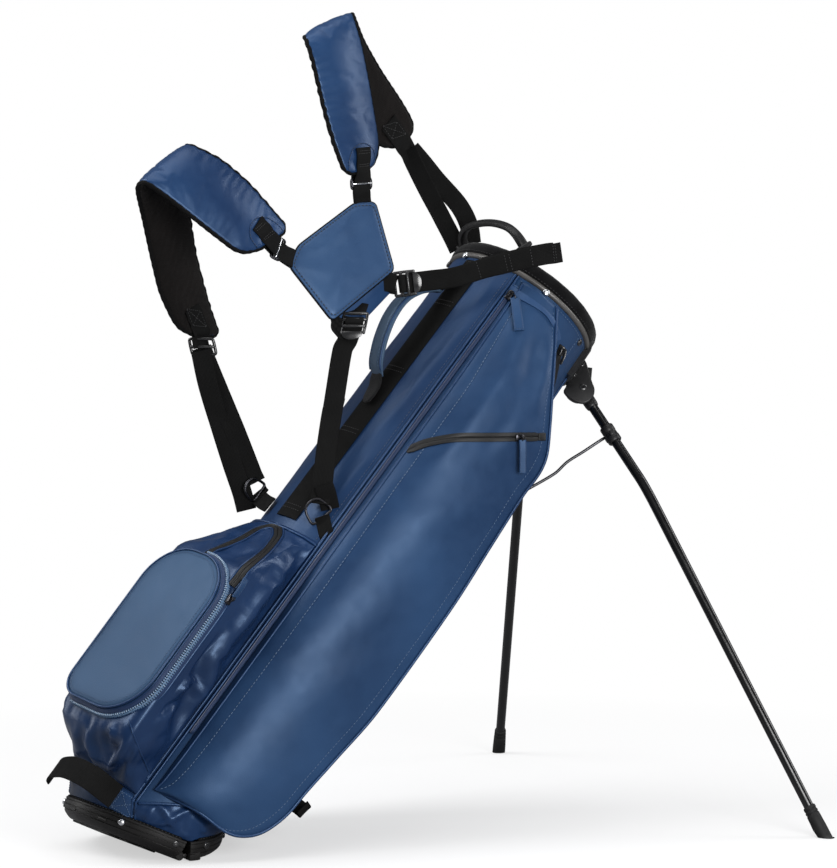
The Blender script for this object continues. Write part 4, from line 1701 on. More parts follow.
def carry_handle():
    """Padded strap with two raised edges, leather outside and webbing under it."""
    path = curve(bag_line([(s, u, -19) for s, u in (
        (642, -114), (652, -124), (664, -131.5), (684, -140.5), (711, -147.5), (737, -147.5),
        (757, -139), (772, -126), (779, -117))]), 3.0)
    along = tangents(path)
    across = square_to(FAR, along)
    normals = np.cross(along, across)
    normals *= np.sign(normals[len(path) // 2] @ -BELOW)
    full = ease(from_ends(len(path)) / 8.0)[:, None]
    angle = turn(40)
    sine = np.sin(angle)
    half = 14.5 - 1.5 * (1 - full)
    x = signed_pow(np.cos(angle), 0.7) * half
    y = np.where(sine > 0, np.abs(sine) ** 0.7 * (3.0 + 3.2 * full), -np.abs(sine) ** 0.6 * 1.6)
    channel = 0.9 * np.exp(-(np.abs(x) - half * 0.72) ** 2) * (sine > 0) * full
    mats = np.zeros((len(path) - 1, 40), int)
    mats[:, 21:39] = 1
    Mesh().grid(sweep(path, across, normals, x, y - channel), loop_cols=True, mat=mats,
                caps=True).put("carry_handle_padded", [HANDLE_LEATHER, NARROW_WEB],
                               "carry_handle", body="carry", sharp=0)
    piping, stitching = Mesh(), Mesh()
    for side in (-1, 1):
        row = path + across * 12.6 * side + normals * (2.2 + 1.6 * full)
        piping.tube(row[3:-3], 1.35)
        row = path + across * 9.6 * side + normals * (3.0 + 2.4 * full)
        stitching.stitches(row[4:-4], 0.34, 2.6, 1.5, normals[4:-4])
    piping.put("carry_handle_piping", PIPING, body="carry", sharp=0)
    stitching.put("carry_handle_stitches", LIGHT_THREAD, body="carry")
    Mesh().ribbon(bag_line([(647, -119, -19), (640, -116.5, -20), (628, -112.5, -24),
                            (612, -111.5, -27), (604, -111.0, -28)]),
                  FAR, [17, 24, 26, 24, 12], 3.0, 2.5, 0.2, 4).put(
        "carry_handle_keeper", HOOK_LOOP, sharp=60)
    Mesh().ribbon(bag_line([(776, -120, -19), (786, -116, -20), (800, -114.8, -22),
                            (812, -114.4, -23)]), FAR, [22, 26, 26, 24], 2.6, 2.5, 0.2, 6).put(
        "carry_handle_upper_tab", WEB, sharp=60)


spine_webbing()
carry_handle()

# D ring: shares of its radius across and up
D_OUTLINE = np.array([(-1, -0.75), (-0.2, -0.82), (0.2, -0.82), (1, -0.75), (1.02, -0.1),
                      (0.78, 0.6), (0.3, 0.92), (-0.3, 0.92), (-0.78, 0.6), (-1.02, -0.1)])
NEAR_RING, FAR_RING = np.array([205.5, -66.0, 410.0]), bag(447, -124, 62)
NEAR_RING_X, NEAR_RING_Y = unit([0.688, -0.370, 0.619]), unit([-0.506, 0.362, 0.779])


def d_ring(tag, centre, ex, ey, radius, wire, body):
    loop = sweep(centre, ex, square_to(ey, ex), *(D_OUTLINE * radius).T)
    Mesh().tube(curve(loop, closed=True, count=61), wire, 12, closed=True).put(
        f"dring_{tag}_wire", BLACK_METAL, "dring_" + tag, body=body, slot="ring_metal", sharp=0)


def d_ring_tabs():
    bar = NEAR_RING - NEAR_RING_Y * 10.5
    down = unit([0.35, 0.1, -1.0])
    laid = drop_view(spine_bvh, [bar + down * d for d in (13, 24, 34)], 1.6)[0]
    mesh = Mesh().ribbon([bar + EYE * 2.6 - down, bar + EYE * 2.4 + down * 4, *laid],
                         NEAR_RING_X, 19, 2.0, 2.5, 0.05, 3)
    mesh.ribbon([bar - EYE * 2.4 - down, bar - EYE * 2.0 + down * 4, laid[0] - EYE * 1.4],
                NEAR_RING_X, 19, 1.8, 2.5)
    bar = FAR_RING + BELOW * 9
    mesh.ribbon([bar - BELOW - ALONG * 3.0, bar + BELOW * 2 - ALONG * 4.5, bag(440, -112.5, 52),
                 bag(436, -112.5, 36), bag(433, -113, 18)], ALONG, 22, 2.2, 2.5, 0.1, 8)
    mesh.ribbon([bar - BELOW + ALONG * 3.0, bar + BELOW * 4 + ALONG, bag(444, -113.2, 50)],
                ALONG, 22, 2.0, 2.5, 0.1, 9)
    mesh.put("dring_tabs", WEB, sharp=60)


d_ring("near", NEAR_RING, NEAR_RING_X, NEAR_RING_Y, 14.0, 1.7, "root")
d_ring("far", FAR_RING, ALONG, -BELOW, 12.5, 1.8, "far_ring")
d_ring_tabs()

# ---------------------------------------------------------------- shoulder pads
# Edge lines of each pad in world x, y, z
LEFT_A = np.array([
    (129.9, -12, 721.4), (85.2, -8, 753.2), (40.8, -2, 787.1), (5.5, 8, 813.5), (6.7, 30, 806.6),
    (21.4, 52, 788.7), (34.6, 68, 769.3), (52.1, 82, 723.6), (67.3, 88, 676.3),
    (91.6, 90, 632.3)])
LEFT_B = np.array([
    (207.5, 12, 759.6), (159.8, 20, 812.7), (124, 26, 842), (84.6, 38, 861.4), (91.6, 60, 858.3),
    (105.4, 82, 829.3), (117, 100, 773.5), (131.4, 112, 723.3), (152.6, 118, 661.2),
    (165.3, 118, 628)])
RIGHT_A = np.array([
    (273.6, -8, 833.2), (264.7, -6, 854.3), (254.2, -2, 891.5), (246.5, 2, 926.3),
    (238.5, 8, 969.7), (234.2, 18, 994.9), (247.5, 42, 995.4), (276.7, 66, 969.9),
    (309.4, 88, 933.8), (342.8, 100, 903), (376, 106, 876.7), (407.3, 108, 859.1)])
RIGHT_B = np.array([
    (336, 12, 839.4), (343.1, 14, 863.5), (339.6, 18, 893.9), (333.2, 22, 940.5),
    (325, 28, 992.1), (317.7, 38, 1028.9), (331.8, 60, 1030.8), (360.4, 84, 998.8),
    (397.5, 104, 962.4), (434.9, 116, 924.9), (457.1, 120, 896.8), (458.7, 120, 877.2)])
SCALLOP = 11.0          # spacing of the ripples in the binding


def corner_inset(radius, length):
    rest = np.clip(radius - length, 0, radius)
    return radius - np.sqrt(np.maximum(radius * radius - rest * rest, 0))


def shoulder_pad(tag, edge_a, edge_b, radii, scalloped, seed, grow):
    """Padded strap between edge lines: leather outside, airflow mesh inside, bound all round.

    radii are the corners (A start, B start, A end, B end); grow lengthens the start and the end.
    """
    edge_a, edge_b = edge_a.copy(), edge_b.copy()
    for amount, end, before in ((grow[0], 0, 1), (grow[1], -1, -2)):
        for edge in (edge_a, edge_b):
            edge[end] += unit(edge[end] - edge[before]) * amount
    step, m = 3.4, 25
    centre = (edge_a + edge_b) / 2
    line = curve(centre, step)
    side_a, side_b = (smooth(at_knots(edge, centre, line), 18) for edge in (edge_a, edge_b))
    line = (side_a + side_b) / 2
    width = np.linalg.norm(side_b - side_a, axis=1)
    across = unit(side_b - side_a)
    along = unit(smooth(tangents(line), 4))
    normals = unit(smooth(unit(np.cross(along, across)), 4))
    if normals[6] @ EYE < 0:
        normals = -normals
    n = len(line)
    length = np.arange(n) * np.linalg.norm(np.diff(line, axis=0), axis=1).mean()
    total = length[-1]
    inset_a = corner_inset(radii[0], length) + corner_inset(radii[2], total - length)
    inset_b = corner_inset(radii[1], length) + corner_inset(radii[3], total - length)
    ripple = (0.9 * np.sin(length * 2 * math.pi / SCALLOP) * ease((length - 18) / 20)
              * ease((total - length - 18) / 20))
    low = -(width / 2 - 3.0) + inset_a + (ripple if scalloped == "A" else 0)
    high = (width / 2 - 3.0) - inset_b - (ripple if scalloped == "B" else 0)
    x = np.linspace(-1, 1, m)
    offset = low[:, None] * (1 - x) / 2 + high[:, None] * (1 + x) / 2
    full = ease(np.minimum(length, total - length) / 26.0)[:, None]
    crown = (1 - np.abs(x) ** 2.6) ** 0.85
    flat = line[:, None] + offset[..., None] * across[:, None]
    soft = 0.5 * noise(flat / 34.0, seed) * (1 - x ** 4)
    rise = 2.4 + (2.6 + 1.0 * full) * crown + soft
    sink = -2.2 - (1.6 + 0.6 * full) * crown - 0.4 * soft
    top = flat + rise[..., None] * normals[:, None]
    bottom = flat + sink[..., None] * normals[:, None]
    rings = np.concatenate([top, bottom[:, ::-1]], 1)
    at_edge = np.abs(x) > 0.9
    pin_cols = np.concatenate([np.where(at_edge, 1.0, 0.0), np.where(at_edge, 1.0, 0.25)])
    pin_rows = np.where(from_ends(n) < 2, 1.0, 0.0)
    rings = settle("cloth_tmp_" + tag, rings, np.maximum(pin_cols, pin_rows[:, None]), tube=True,
                   pressure=5.5, frame_count=18, cap=4.5, shrink=-0.012, stiff=9.0, bend=0.12)
    top, bottom = rings[:, :m], rings[:, m:][:, ::-1]
    mats = np.zeros((n - 1, 2 * m), int)
    mats[:, m:] = 1
    mats[:, [m - 1, 2 * m - 1]] = 2
    body = tag + "_loop"
    Mesh().grid(rings, loop_cols=True, mat=mats, caps=True).put(
        "pad_body_" + tag, [PAD_LEATHER, AIR_MESH, BINDING], "shoulder_pad_" + tag, body=body,
        sharp=0)

    middle = (top + bottom) / 2
    loop = np.concatenate([middle[:, 0], middle[-1, 1:-1] + along[-1] * 0.8, middle[::-1, -1],
                           (middle[0, 1:-1] - along[0] * 0.8)[::-1]])
    loop = curve(loop[::2], closed=True, step=3.0)
    radius = 2.9 + 0.28 * np.sin(np.arange(len(loop)) * 3.0 * 2 * math.pi / SCALLOP)
    Mesh().tube(loop, radius, 10, closed=True).put("pad_binding_" + tag, BINDING, body=body,
                                                   sharp=0)

    def surface(grid, outward):
        """Finds (points, normals) from a length along the pad and an offset across it."""
        grid_normal = grid_normals(grid, outward)

        def find(at_length, at_offset):
            i = np.clip(at_length / total * (n - 1), 0, n - 1.001)
            first, last = np.interp(i, np.arange(n), low), np.interp(i, np.arange(n), high)
            j = np.clip((at_offset - first) / (last - first), 0, 1) * (m - 1.001)
            return bilinear(grid, i, j), unit(bilinear(grid_normal, i, j))
        return find

    return SimpleNamespace(
        top=surface(top, normals[:, None]), bottom=surface(bottom, -normals[:, None]),
        along=along, across=across, total=total, count=n)


def pad_details(tag, pad, ring, ring_across, tail, offset):
    """Half-moon seam and webbing at the ring end, box stitch on the mesh at the other end."""
    body = tag + "_loop"

    def width_dirs(lengths):
        index = np.clip((lengths / pad.total * (pad.count - 1)).astype(int), 0, pad.count - 1)
        return list(pad.across[index])

    angle = np.linspace(0, math.pi, 40)
    p, q = pad.top(3 + 31 * np.sin(angle) ** 0.8, offset - 25 * np.cos(angle))
    Mesh().tube(p + q * 0.05, 0.75, 6).stitches(p + q * 0.55, 0.42, 2.6, 1.5, q, mat=1).put(
        "pad_half_moon_" + tag, [PAD_LEATHER, BLACK_THREAD], body=body, sharp=0)

    lengths = np.linspace(29, 2, 9)
    p, q = pad.top(lengths, offset)
    dirs = width_dirs(lengths)
    end_dir = -ring_across if dirs[0] @ ring_across < 0 else ring_across
    front, behind = ring + q[-1] * 2.2, ring - q[-1] * 2.2
    mesh = Mesh().ribbon([*(p + q * 1.3), front], np.array(dirs + [end_dir]), 25, 2.0, 2.5,
                         0.05, 3)
    under = p[-1] - q[-1] * 5.0 + pad.along[0] * 2
    mesh.ribbon([behind, (behind + under) / 2, under], np.array([end_dir, end_dir, dirs[-1]]),
                25, 2.0, 2.5, 0.05, 5)
    mesh.tube(curve([front, ring - pad.along[0] * 2.2, behind], 1.0), 0.9, 6)
    for length in (25, 22, 9, 6):
        p, q = pad.top(length, offset + np.linspace(-10.5, 10.5, 10))
        mesh.stitches(p + q * 2.35, 0.42, 2.0, 1.0, q, mat=1)
    mesh.put("pad_ring_webbing_" + tag, [WEB, BLACK_THREAD], body=body, sharp=60)

    lengths = np.linspace(pad.total - 36, pad.total - 1, 9)
    p, q = pad.bottom(lengths, 0.0)
    dirs = width_dirs(lengths) + [pad.across[-1]] * len(tail)
    mesh = Mesh().ribbon([*(p + q * 1.2), *tail], np.array(dirs), 30, 2.0, 2.5, 0.1, 7)
    low, high, half = pad.total - 33, pad.total - 11, 12.5
    for start, end, left, right in (
            (low, low, -half, half), (high, high, -half, half), (low, high, -half, -half),
            (low, high, half, half), (low, high, -half, half), (low, high, half, -half)):
        p, q = pad.bottom(np.linspace(start, end, 14), np.linspace(left, right, 14))
        mesh.stitches(p + q * 2.25, 0.45, 2.3, 1.1, q, mat=1)
    mesh.put("pad_box_stitch_" + tag, [WEB, BLACK_THREAD], body=body, sharp=60)


LEFT_RING, RIGHT_RING = np.array([187.5, -0.5, 731.5]), np.array([309.0, 3.0, 813.0])
LEFT_ACROSS, RIGHT_ACROSS = unit([0.45, 0.25, 0.86]), unit([1, 0, 0.05])
left_pad = shoulder_pad("left", LEFT_A, LEFT_B, (25, 9, 22, 8), "B", 71, (4, 8))
right_pad = shoulder_pad("right", RIGHT_A, RIGHT_B, (8, 20, 12, 24), "A", 72, (9, 0))
pad_details("left", left_pad, LEFT_RING, LEFT_ACROSS, [(131.5, 103, 620), (133.5, 102.5, 607)], 6)
pad_details("right", right_pad, RIGHT_RING, RIGHT_ACROSS, [(441, 111.5, 861), (447, 110, 850)], 2)

# ---------------------------------------------------------------- link rings and centre pad
LINK_OUTLINE = np.array([(-14.2, -4), (-14.2, 4), (-12.4, 6.4), (0, 6.6), (12.4, 6.4), (14.2, 4),
                         (14.2, -4), (12.4, -6.4), (0, -6.6), (-12.4, -6.4)])


def link_ring(tag, centre, ex, ey):
    ey = square_to(ey, ex)
    out = towards_eye(unit(np.cross(ex, ey)))
    loop = curve(sweep(centre, ex, ey, *LINK_OUTLINE.T), closed=True, count=73)
    mesh = Mesh().tube(loop, 1.6, 10, closed=True)
    bar = np.array([centre - 12.9 * ex, centre, centre + 12.9 * ex]) + out * 2.2
    mesh.tube(bar, 1.35, 12, mat=1)
    for side in (-1, 1):
        mesh.block(centre + side * 13.2 * ex + out * 0.8, ex, ey, out, (3.4, 9.0, 4.6), 0.9)
    mesh.put(f"link_ring_{tag}_frame", [BLACK_METAL, CHROME], "link_ring_" + tag, body="harness",
             slot="ring_metal", sharp=50)


link_ring("left", LEFT_RING, LEFT_ACROSS, unit([0.91, -0.1, -0.4]))
link_ring("right", RIGHT_RING, RIGHT_ACROSS, UP)
mesh = Mesh()
# Webbing from ring to pad: points in x, y, z and how far each stands towards the camera
for across, *strands in (
        (LEFT_ACROSS,
         [(LEFT_RING, 1.6), (LEFT_RING + (9, -1.5, -7), 1.0), ((209, -2.5, 719), -1.2),
          ((220, -2, 711), -3.4)],
         [(LEFT_RING, -1.6), (LEFT_RING + (9, 0.5, -7), -2.2), ((213, 0, 715), -4.8)]),
        (RIGHT_ACROSS,
         [(RIGHT_RING, 1.6), ((309.5, 1.5, 803), 1.0), ((311, 3, 793), -1.2),
          ((313, 2, 782), -3.4)],
         [(RIGHT_RING, -1.6), ((309.5, 4.5, 803), -2.2), ((311, 5, 791), -4.8)])):
    for strand, seed in zip(strands, (3, 5)):
        mesh.ribbon([point + EYE * off for point, off in strand], across, 24, 2.0, 2.5, 0.05,
                    seed)
mesh.put("centre_link_webbing", WEB, body="harness", sharp=60)

# Outlines in x, y, z
CENTRE_PAD = np.array([(301.8, 6.0, 788.7), (328.7, 2.0, 790.0), (340.5, -25.0, 704.5),
                       (246.7, -32.0, 641.7), (202.5, -2.0, 709.9), (218.1, 3.0, 734.7)])
UNDER_LAYER = np.array([(339.3, -26, 704.5), (338.7, -27, 680.6), (291.2, -31, 639.9),
                        (262, -33, 626), (246, -33, 634), (244, -29, 652)]) - EYE * 6.0
CORNER_WEB = np.array([(247, -31, 652), (270, -32, 640), (272, -34, 622), (256, -35, 618),
                       (243, -34, 632)]) - EYE * 3.2
# Profiles: (share of the outline, height)
CENTRE_PROFILE = [
    (0.04, 4.4), (0.16, 4.4), (0.3, 4.3), (0.44, 4.2), (0.58, 4.0), (0.7, 3.7), (0.8, 3.4),
    (0.87, 3.0), (0.91, 2.4), (0.932, 1.8), (0.945, 1.75), (0.96, 2.1), (0.98, 2.0),
    (0.992, 1.5), (1.0, 0.7), (1.004, -0.4), (0.995, -1.6), (0.96, -2.2), (0.6, -2.4),
    (0.2, -2.4)]
UNDER_PROFILE = [(0.05, 1.6), (0.4, 1.6), (0.8, 1.5), (0.92, 1.2), (0.98, 0.8), (1.0, 0.0),
                 (0.98, -0.9), (0.5, -1.2), (0.1, -1.2)]
# Folds: points in x, y, z, width, height
CENTRE_FOLDS = [
    (((300, 4, 770), (262, -4, 742), (226, -2, 722)), 7, 1.5),
    (((322, 0, 770), (300, -6, 750), (255, -14, 722)), 9, -1.3),
    (((334, -18, 716), (300, -18, 700), (262, -22, 690)), 10, 1.2),
    (((250, -26, 660), (262, -22, 690), (285, -14, 716)), 10, 1.3),
    (((214, 0, 712), (244, -10, 702), (270, -16, 694)), 8, 1.1)]


def rounded_poly(corners, radius, count):
    """Closed outline with its corners rounded off."""
    points = []
    for before, corner, after in zip(np.roll(corners, 1, 0), corners, np.roll(corners, -1, 0)):
        cut = min(radius, 0.45 * np.linalg.norm(before - corner),
                  0.45 * np.linalg.norm(after - corner))
        start, end = corner + unit(before - corner) * cut, corner + unit(after - corner) * cut
        points += [start * (1 - t) ** 2 + 2 * corner * t * (1 - t) + end * t * t
                   for t in np.linspace(0, 1, 7)]
    return respace(np.array(points), count)


def flat_pad(name, corners, radius, profile, mat, seed, *replaces, folds=()):
    """Padded flat panel; gives its normal, outline and centre."""
    normal = unit(np.cross(corners[2] - corners[0], corners[4] - corners[1]))
    if normal @ EYE < 0:
        normal = -normal
    outline = rounded_poly(corners, radius, 132)
    centre = outline.mean(0)
    rings = []
    for share, height in profile:
        ring = centre + (outline - centre) * share
        if height > 0:
            soft = 0.6 * noise(ring / 26.0, seed) * np.clip(1.15 - share, 0, 1)
            ring = ring + soft[:, None] * normal
            for item in folds:
                ring = ring + fold(ring, *item, 0.3)[:, None] * normal
        rings.append(ring + height * normal)
    Mesh().loft(rings).put(name, mat, *replaces, body="harness", sharp=0)
    return normal, outline, centre


normal, outline, centre = flat_pad("centre_pad_panel", CENTRE_PAD, 7, CENTRE_PROFILE,
                                   CENTRE_LEATHER, 81, "centre_pad", folds=CENTRE_FOLDS)
row = centre + (outline - centre) * 0.939
Mesh().stitches(np.concatenate([row, row[:1]]) + normal * 1.95, 0.6, 3.0, 1.9, normal).put(
    "centre_pad_stitches", BLACK_THREAD, body="harness")
Mesh().tube(outline - normal * 0.4, 1.5, closed=True).put(
    "centre_pad_binding", BINDING, body="harness", sharp=0)
flat_pad("centre_pad_under_layer", UNDER_LAYER, 8, UNDER_PROFILE, PAD_LEATHER, 83)
outline, centre = rounded_poly(CORNER_WEB, 5, 60), CORNER_WEB.mean(0)
Mesh().loft([outline - EYE, outline + EYE * 0.6, centre + (outline - centre) * 0.94 + EYE]).put(
    "centre_pad_corner_web", WEB, body="harness", sharp=60)


# ---------------------------------------------------------------- buckles and body straps
def ladder_lock(tag, centre, along, across):
    """Buckle with two rails, three bars and a thumb plate."""
    axes = np.array([along, across, towards_eye(unit(np.cross(along, across)))])
    mesh = Mesh()
    for side in (-1, 1):
        rail = np.array([(-13, 14.4 * side, 0.2), (-6, 14.6 * side, 1.4), (2, 14.6 * side, 2.4),
                         (12.5, 14.2 * side, 3.0)])
        mesh.tube(curve(centre + rail @ axes, 2.0), 2.0, 10)
    for x, height, radius in ((-13.0, 0.2, 2.0), (-4.6, 3.8, 2.2), (3.6, 4.2, 2.2)):
        bar = np.array([(x, -14, height), (x, 0, height), (x, 14, height)])
        mesh.tube(centre + bar @ axes, radius, 12)
    angle = np.linspace(-90, 90, 19) * DEG
    plate = np.stack([12.0 + 9.0 * np.cos(angle), 13.2 * np.sin(angle)], 1)
    plate = np.concatenate([plate, [(10.2, 13.0), (10.2, -13.0)]])
    middle = np.array([14.0, 0])
    rings = []
    for height, share in ((2.0, 0.94), (2.3, 1.0), (4.2, 1.0), (4.6, 0.93)):
        x, y = (middle + (plate - middle) * share).T
        rings.append(centre + np.stack([x, y, height + 0.12 * (x - 12)], 1) @ axes)
    mesh.loft(rings).put(f"ladder_lock_{tag}_frame", GLOSSY, "ladder_lock_" + tag, body="harness",
                         sharp=50)


TOP_LOCK, LOWER_LOCK = np.array([351.0, -34.5, 687.5]), np.array([276.5, -35.0, 638.0])
# Locks: tag, centre, along, across, and three anchor points on the pad
LOCKS = (("top", TOP_LOCK, unit([0.86, -0.48, 0.13]), unit([-0.1, 0.05, 0.99]),
          np.array([(318, -22, 690), (332, -27, 689), (330, -23, 688)])),
         ("lower", LOWER_LOCK, unit([-0.25, -0.05, -0.97]), unit(ACROSS),
          np.array([(290, -25, 664), (284, -29, 654), (285, -27, 656)])))
for tag, centre, along, across, _ in LOCKS:
    ladder_lock(tag, centre, along, across)
mesh = Mesh()
for _, centre, along, across, anchors in LOCKS:         # anchors from the pad
    mesh.ribbon([anchors[0] - EYE * 3, anchors[1] - EYE, centre - along * 12 + EYE * 2.0,
                 centre - along * 13.5 - EYE * 1.4, anchors[2] - EYE * 4], across, 24, 1.9, 2.5)
for _, centre, along, across, _ in LOCKS:               # straps wrapped round the bars
    mesh.ribbon([centre + along * x + EYE * z
                 for x, z in ((9, 1.0), (2, 2.0), (-0.5, 6.4), (-5, 6.2), (-8, 1.5))],
                across, 23, 1.6, 1.6)
mesh.put("lock_webbing", NARROW_WEB, body="harness", sharp=60)

# top strap, out to the cuff: webbing with sewn joints
TOP_STRAP = np.array([
    (356, -36.5, 688.2), (380, -49, 691.5), (407.9, -63, 695.6), (439.5, -80, 706.4),
    (456, -94, 711.5), (483.1, -110, 719.0), (509.3, -117, 724.0), (519.0, -119.0, 725.0),
    (530.0, -119.8, 726.8)])
mesh = Mesh().ribbon(TOP_STRAP, UP, 25.5, 2.0, 3.0, 0.5, 3)
mesh.ribbon(TOP_STRAP[3:8] - EYE * 2.6 + UP * 1.5, UP, 25.5, 1.9, 3.0, 0.5, 6)
path, width_dirs, normals = ribbon_frame(TOP_STRAP, UP, 3.0)
normals = normals * np.sign(normals[10] @ EYE)
for share in (0.46, 0.64, 0.665, 0.8, 0.955, 0.97):
    i = int(share * (len(path) - 1))
    row = path[i] + normals[i] * 1.35 + np.linspace(-11, 11, 12)[:, None] * width_dirs[i]
    mesh.stitches(row, 0.45, 2.2, 1.0, normals[i], mat=1)
strap = mesh.put("top_strap_webbing", [WEB, BLACK_THREAD], "strap_top", body=None, sharp=60)
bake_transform(strap)

LOWER_STRAP = [
    (275.4, -35.0, 646), (272.6, -34.5, 632.0), (268.0, -34.0, 618), (259.8, -35.0, 605.5),
    (243.7, -42.5, 543.9), (225.4, -54.5, 483), (217.7, -60.5, 449), (211.2, -66, 424.0),
    (208.5, -68.5, 418.0)]
LOWER_RETURN = np.array([
    (208.5, -63.5, 418.0), (212, -60, 428), (218.5, -56, 452), (226, -50, 484), (239, -41, 528),
    (246, -39, 548)]) + (3.5, 2.5, 0)
mesh = Mesh().ribbon(LOWER_STRAP, ACROSS, [24, 24.5, 25, 25, 25, 25, 25, 24, 23], 1.9, 3.5,
                     0.5, 12)
mesh.ribbon(LOWER_RETURN, ACROSS, [23, 24, 25, 25, 25, 24], 1.8, 3.5, 0.3, 14)
mesh.ribbon([(214, -68, 441), (216.5, -70, 431), (219, -71, 421), (221.5, -71.5, 411)], ACROSS,
            [24, 24.5, 24, 23], 1.9, 3.0, 0.1, 16)
strap = mesh.put("lower_strap_webbing", WEB, "strap_lower", body=None, sharp=60)
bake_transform(strap)

# left loop: two layers down to the far ring and a loose tail, with a three-bar slider
mesh = Mesh().ribbon([(133.5, 102.5, 607), (137.8, 101.0, 594), (149.7, 94.0, 560),
                      (169.1, 80.0, 502.6), (183.5, 70.0, 459), (190.5, 65, 438)], ACROSS,
                     [25, 25, 25, 25, 24, 23], 1.9, 3.5, 0.6, 21)
mesh.ribbon([(190.5, 62, 437), (184, 66, 452), (167, 76, 499), (147, 91, 557), (136, 98, 592),
             (132.5, 99, 604)], ACROSS, [23, 24, 25, 25, 25, 25], 1.8, 3.5, 0.6, 23)
loop = mesh.put("left_loop_webbing", WEB, "strap_loop_left", body=None, sharp=60)
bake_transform(loop)
tail = Mesh().ribbon([(129.5, 97, 603), (137.5, 92.5, 559.5), (151, 86, 508.9),
                      (163.5, 76, 458.4), (172.5, 69, 425), (177.7, 66, 401.5)], ACROSS, 25, 1.9,
                     3.5, 1.0, 22).put("left_loop_tail", WEB, body=None, sharp=60)
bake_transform(tail)


def tri_glide(name, centre, along, across, body):
    out = towards_eye(unit(np.cross(along, across)))
    outline = np.array([(-15, -8), (-15, 8), (-13, 10), (13, 10), (15, 8), (15, -8), (13, -10),
                        (-13, -10)])
    loop = curve(sweep(centre, across, along, *outline.T) + out, closed=True, count=65)
    bar = np.array([centre - 14.5 * across, centre, centre + 14.5 * across]) + out * 2.6
    Mesh().tube(loop, 2.0, 10, closed=True).tube(bar, 2.1, 10).put(name, GLOSSY, body=body,
                                                                   sharp=0)


tri_glide("left_tri_glide", np.array([134.0, 100.0, 608.0]), unit([0.2, -0.05, -0.95]),
          unit(ACROSS), "left_loop")

# right loop: two strands into the far side of the cuff
mesh = Mesh().ribbon([(441, 108, 860), (447.5, 105, 843), (461.9, 99.5, 812), (480.1, 91, 774.8),
                      (494, 83, 744), (500, 79, 729)], unit([0.55, -0.75, 0.35]), 25, 1.9, 3.5,
                     0.5, 31)
mesh.ribbon([(447, 111, 861), (463, 107.5, 843), (481.3, 103, 820.8), (510.4, 95, 788.1),
             (522, 88, 761.8), (523, 82, 738)], unit([0.8, -0.3, 0.5]), 25, 1.9, 3.5, 0.5, 32)
loop = mesh.put("right_loop_webbing", WEB, "strap_loop_right", body=None, sharp=60)
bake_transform(loop)

# ---------------------------------------------------------------- small details near the cuff
side_bvh = bvh_of(near_side, near_pocket)
# Sections: (share of half width, height)
FLAP_SECTION = ((-1, 0.2), (-0.9, 1.7), (-0.4, 1.9), (0.3, 1.8), (0.9, 1.6), (1, 0.2))
COLLAR_SECTION = ((-1, 0.1), (-0.93, 1.2), (-0.6, 1.3), (-0.2, 1.5), (0, 0.5), (0.2, 1.5),
                  (0.6, 1.3), (0.93, 1.2), (1, 0.1))


def pocket_flap():
    """Leather strip along the top of the near pocket."""
    line = bag_line([(826, -78, -95), (822.8, -69.3, -98), (823.5, -54.7, -101),
                     (825.9, -38.3, -105), (827.2, -19, -109), (824.2, -5, -112),
                     (819, 6.6, -113), (812, 16, -112)])
    path, normals = drop_view(side_bvh, curve(line, 3.0), 0.6)
    half = 4.4 + 0.8 * np.sin(np.arange(len(path)) * 0.23)
    Mesh().strip(smooth(path, 3), unit(smooth(normals, 6)), half, FLAP_SECTION, 0.8).put(
        "pocket_top_flap", PATCH, sharp=60)


def collar_zip():
    line = bag_line([(815, 30.5, -101.5), (805.5, 34, -102), (792, 45, -100), (781, 54, -93),
                     (770.4, 63.2, -84.5)])
    path, normals = project(side_bvh, curve(line, 2.5), unit(FAR - 0.35 * BELOW), 0.4, 40)
    path, normals = smooth(path, 3), unit(smooth(normals, 6))
    Mesh().strip(path, normals, 5.0, COLLAR_SECTION, 0.8).put("collar_zip_tape", COATED, sharp=50)
    along, out = tangents(path)[3], normals[3]
    mesh = Mesh()
    eye = zip_slider(mesh, path[3] + out * 4.0, along, out, 0.85) + out
    pull = curve([eye, eye + along * 8 + out * 1.5, eye + along * 18 + out * 0.4], 1.5)
    mesh.tube(pull, 2.3, 10, flat=0.6)
    mesh.put("collar_zip_slider", GLOSSY, slot="zip_metal", sharp=50)


def collar_stitches():
    """A seam down the collar panel and a row of thread under the trim."""
    path, normals = project(side_bvh, skin(spaced(842, 742, 4), -62.0, 3.0),
                            -skin_normal(800.0, -62.0), 0.35, 30)
    mesh = Mesh().stitches(path, 0.4, 2.7, 1.6, normals)
    for side in (-1, 1):
        angles = np.linspace(32, 128, 80) * side
        mesh.stitches(skin(843.5, angles, 0.95), 0.38, 2.8, 1.8, skin_normal(843.5, angles))
    mesh.put("collar_stitches", LIGHT_THREAD)


pocket_flap()
collar_zip()
sewn_patch("zip_garage", skin([818, 818, 836, 836], [-131, -124, -124, -131], 3),
           -skin_normal(827.0, -127.5), bvh_of(near_side, spine), 1.4, cross=False)
collar_stitches()


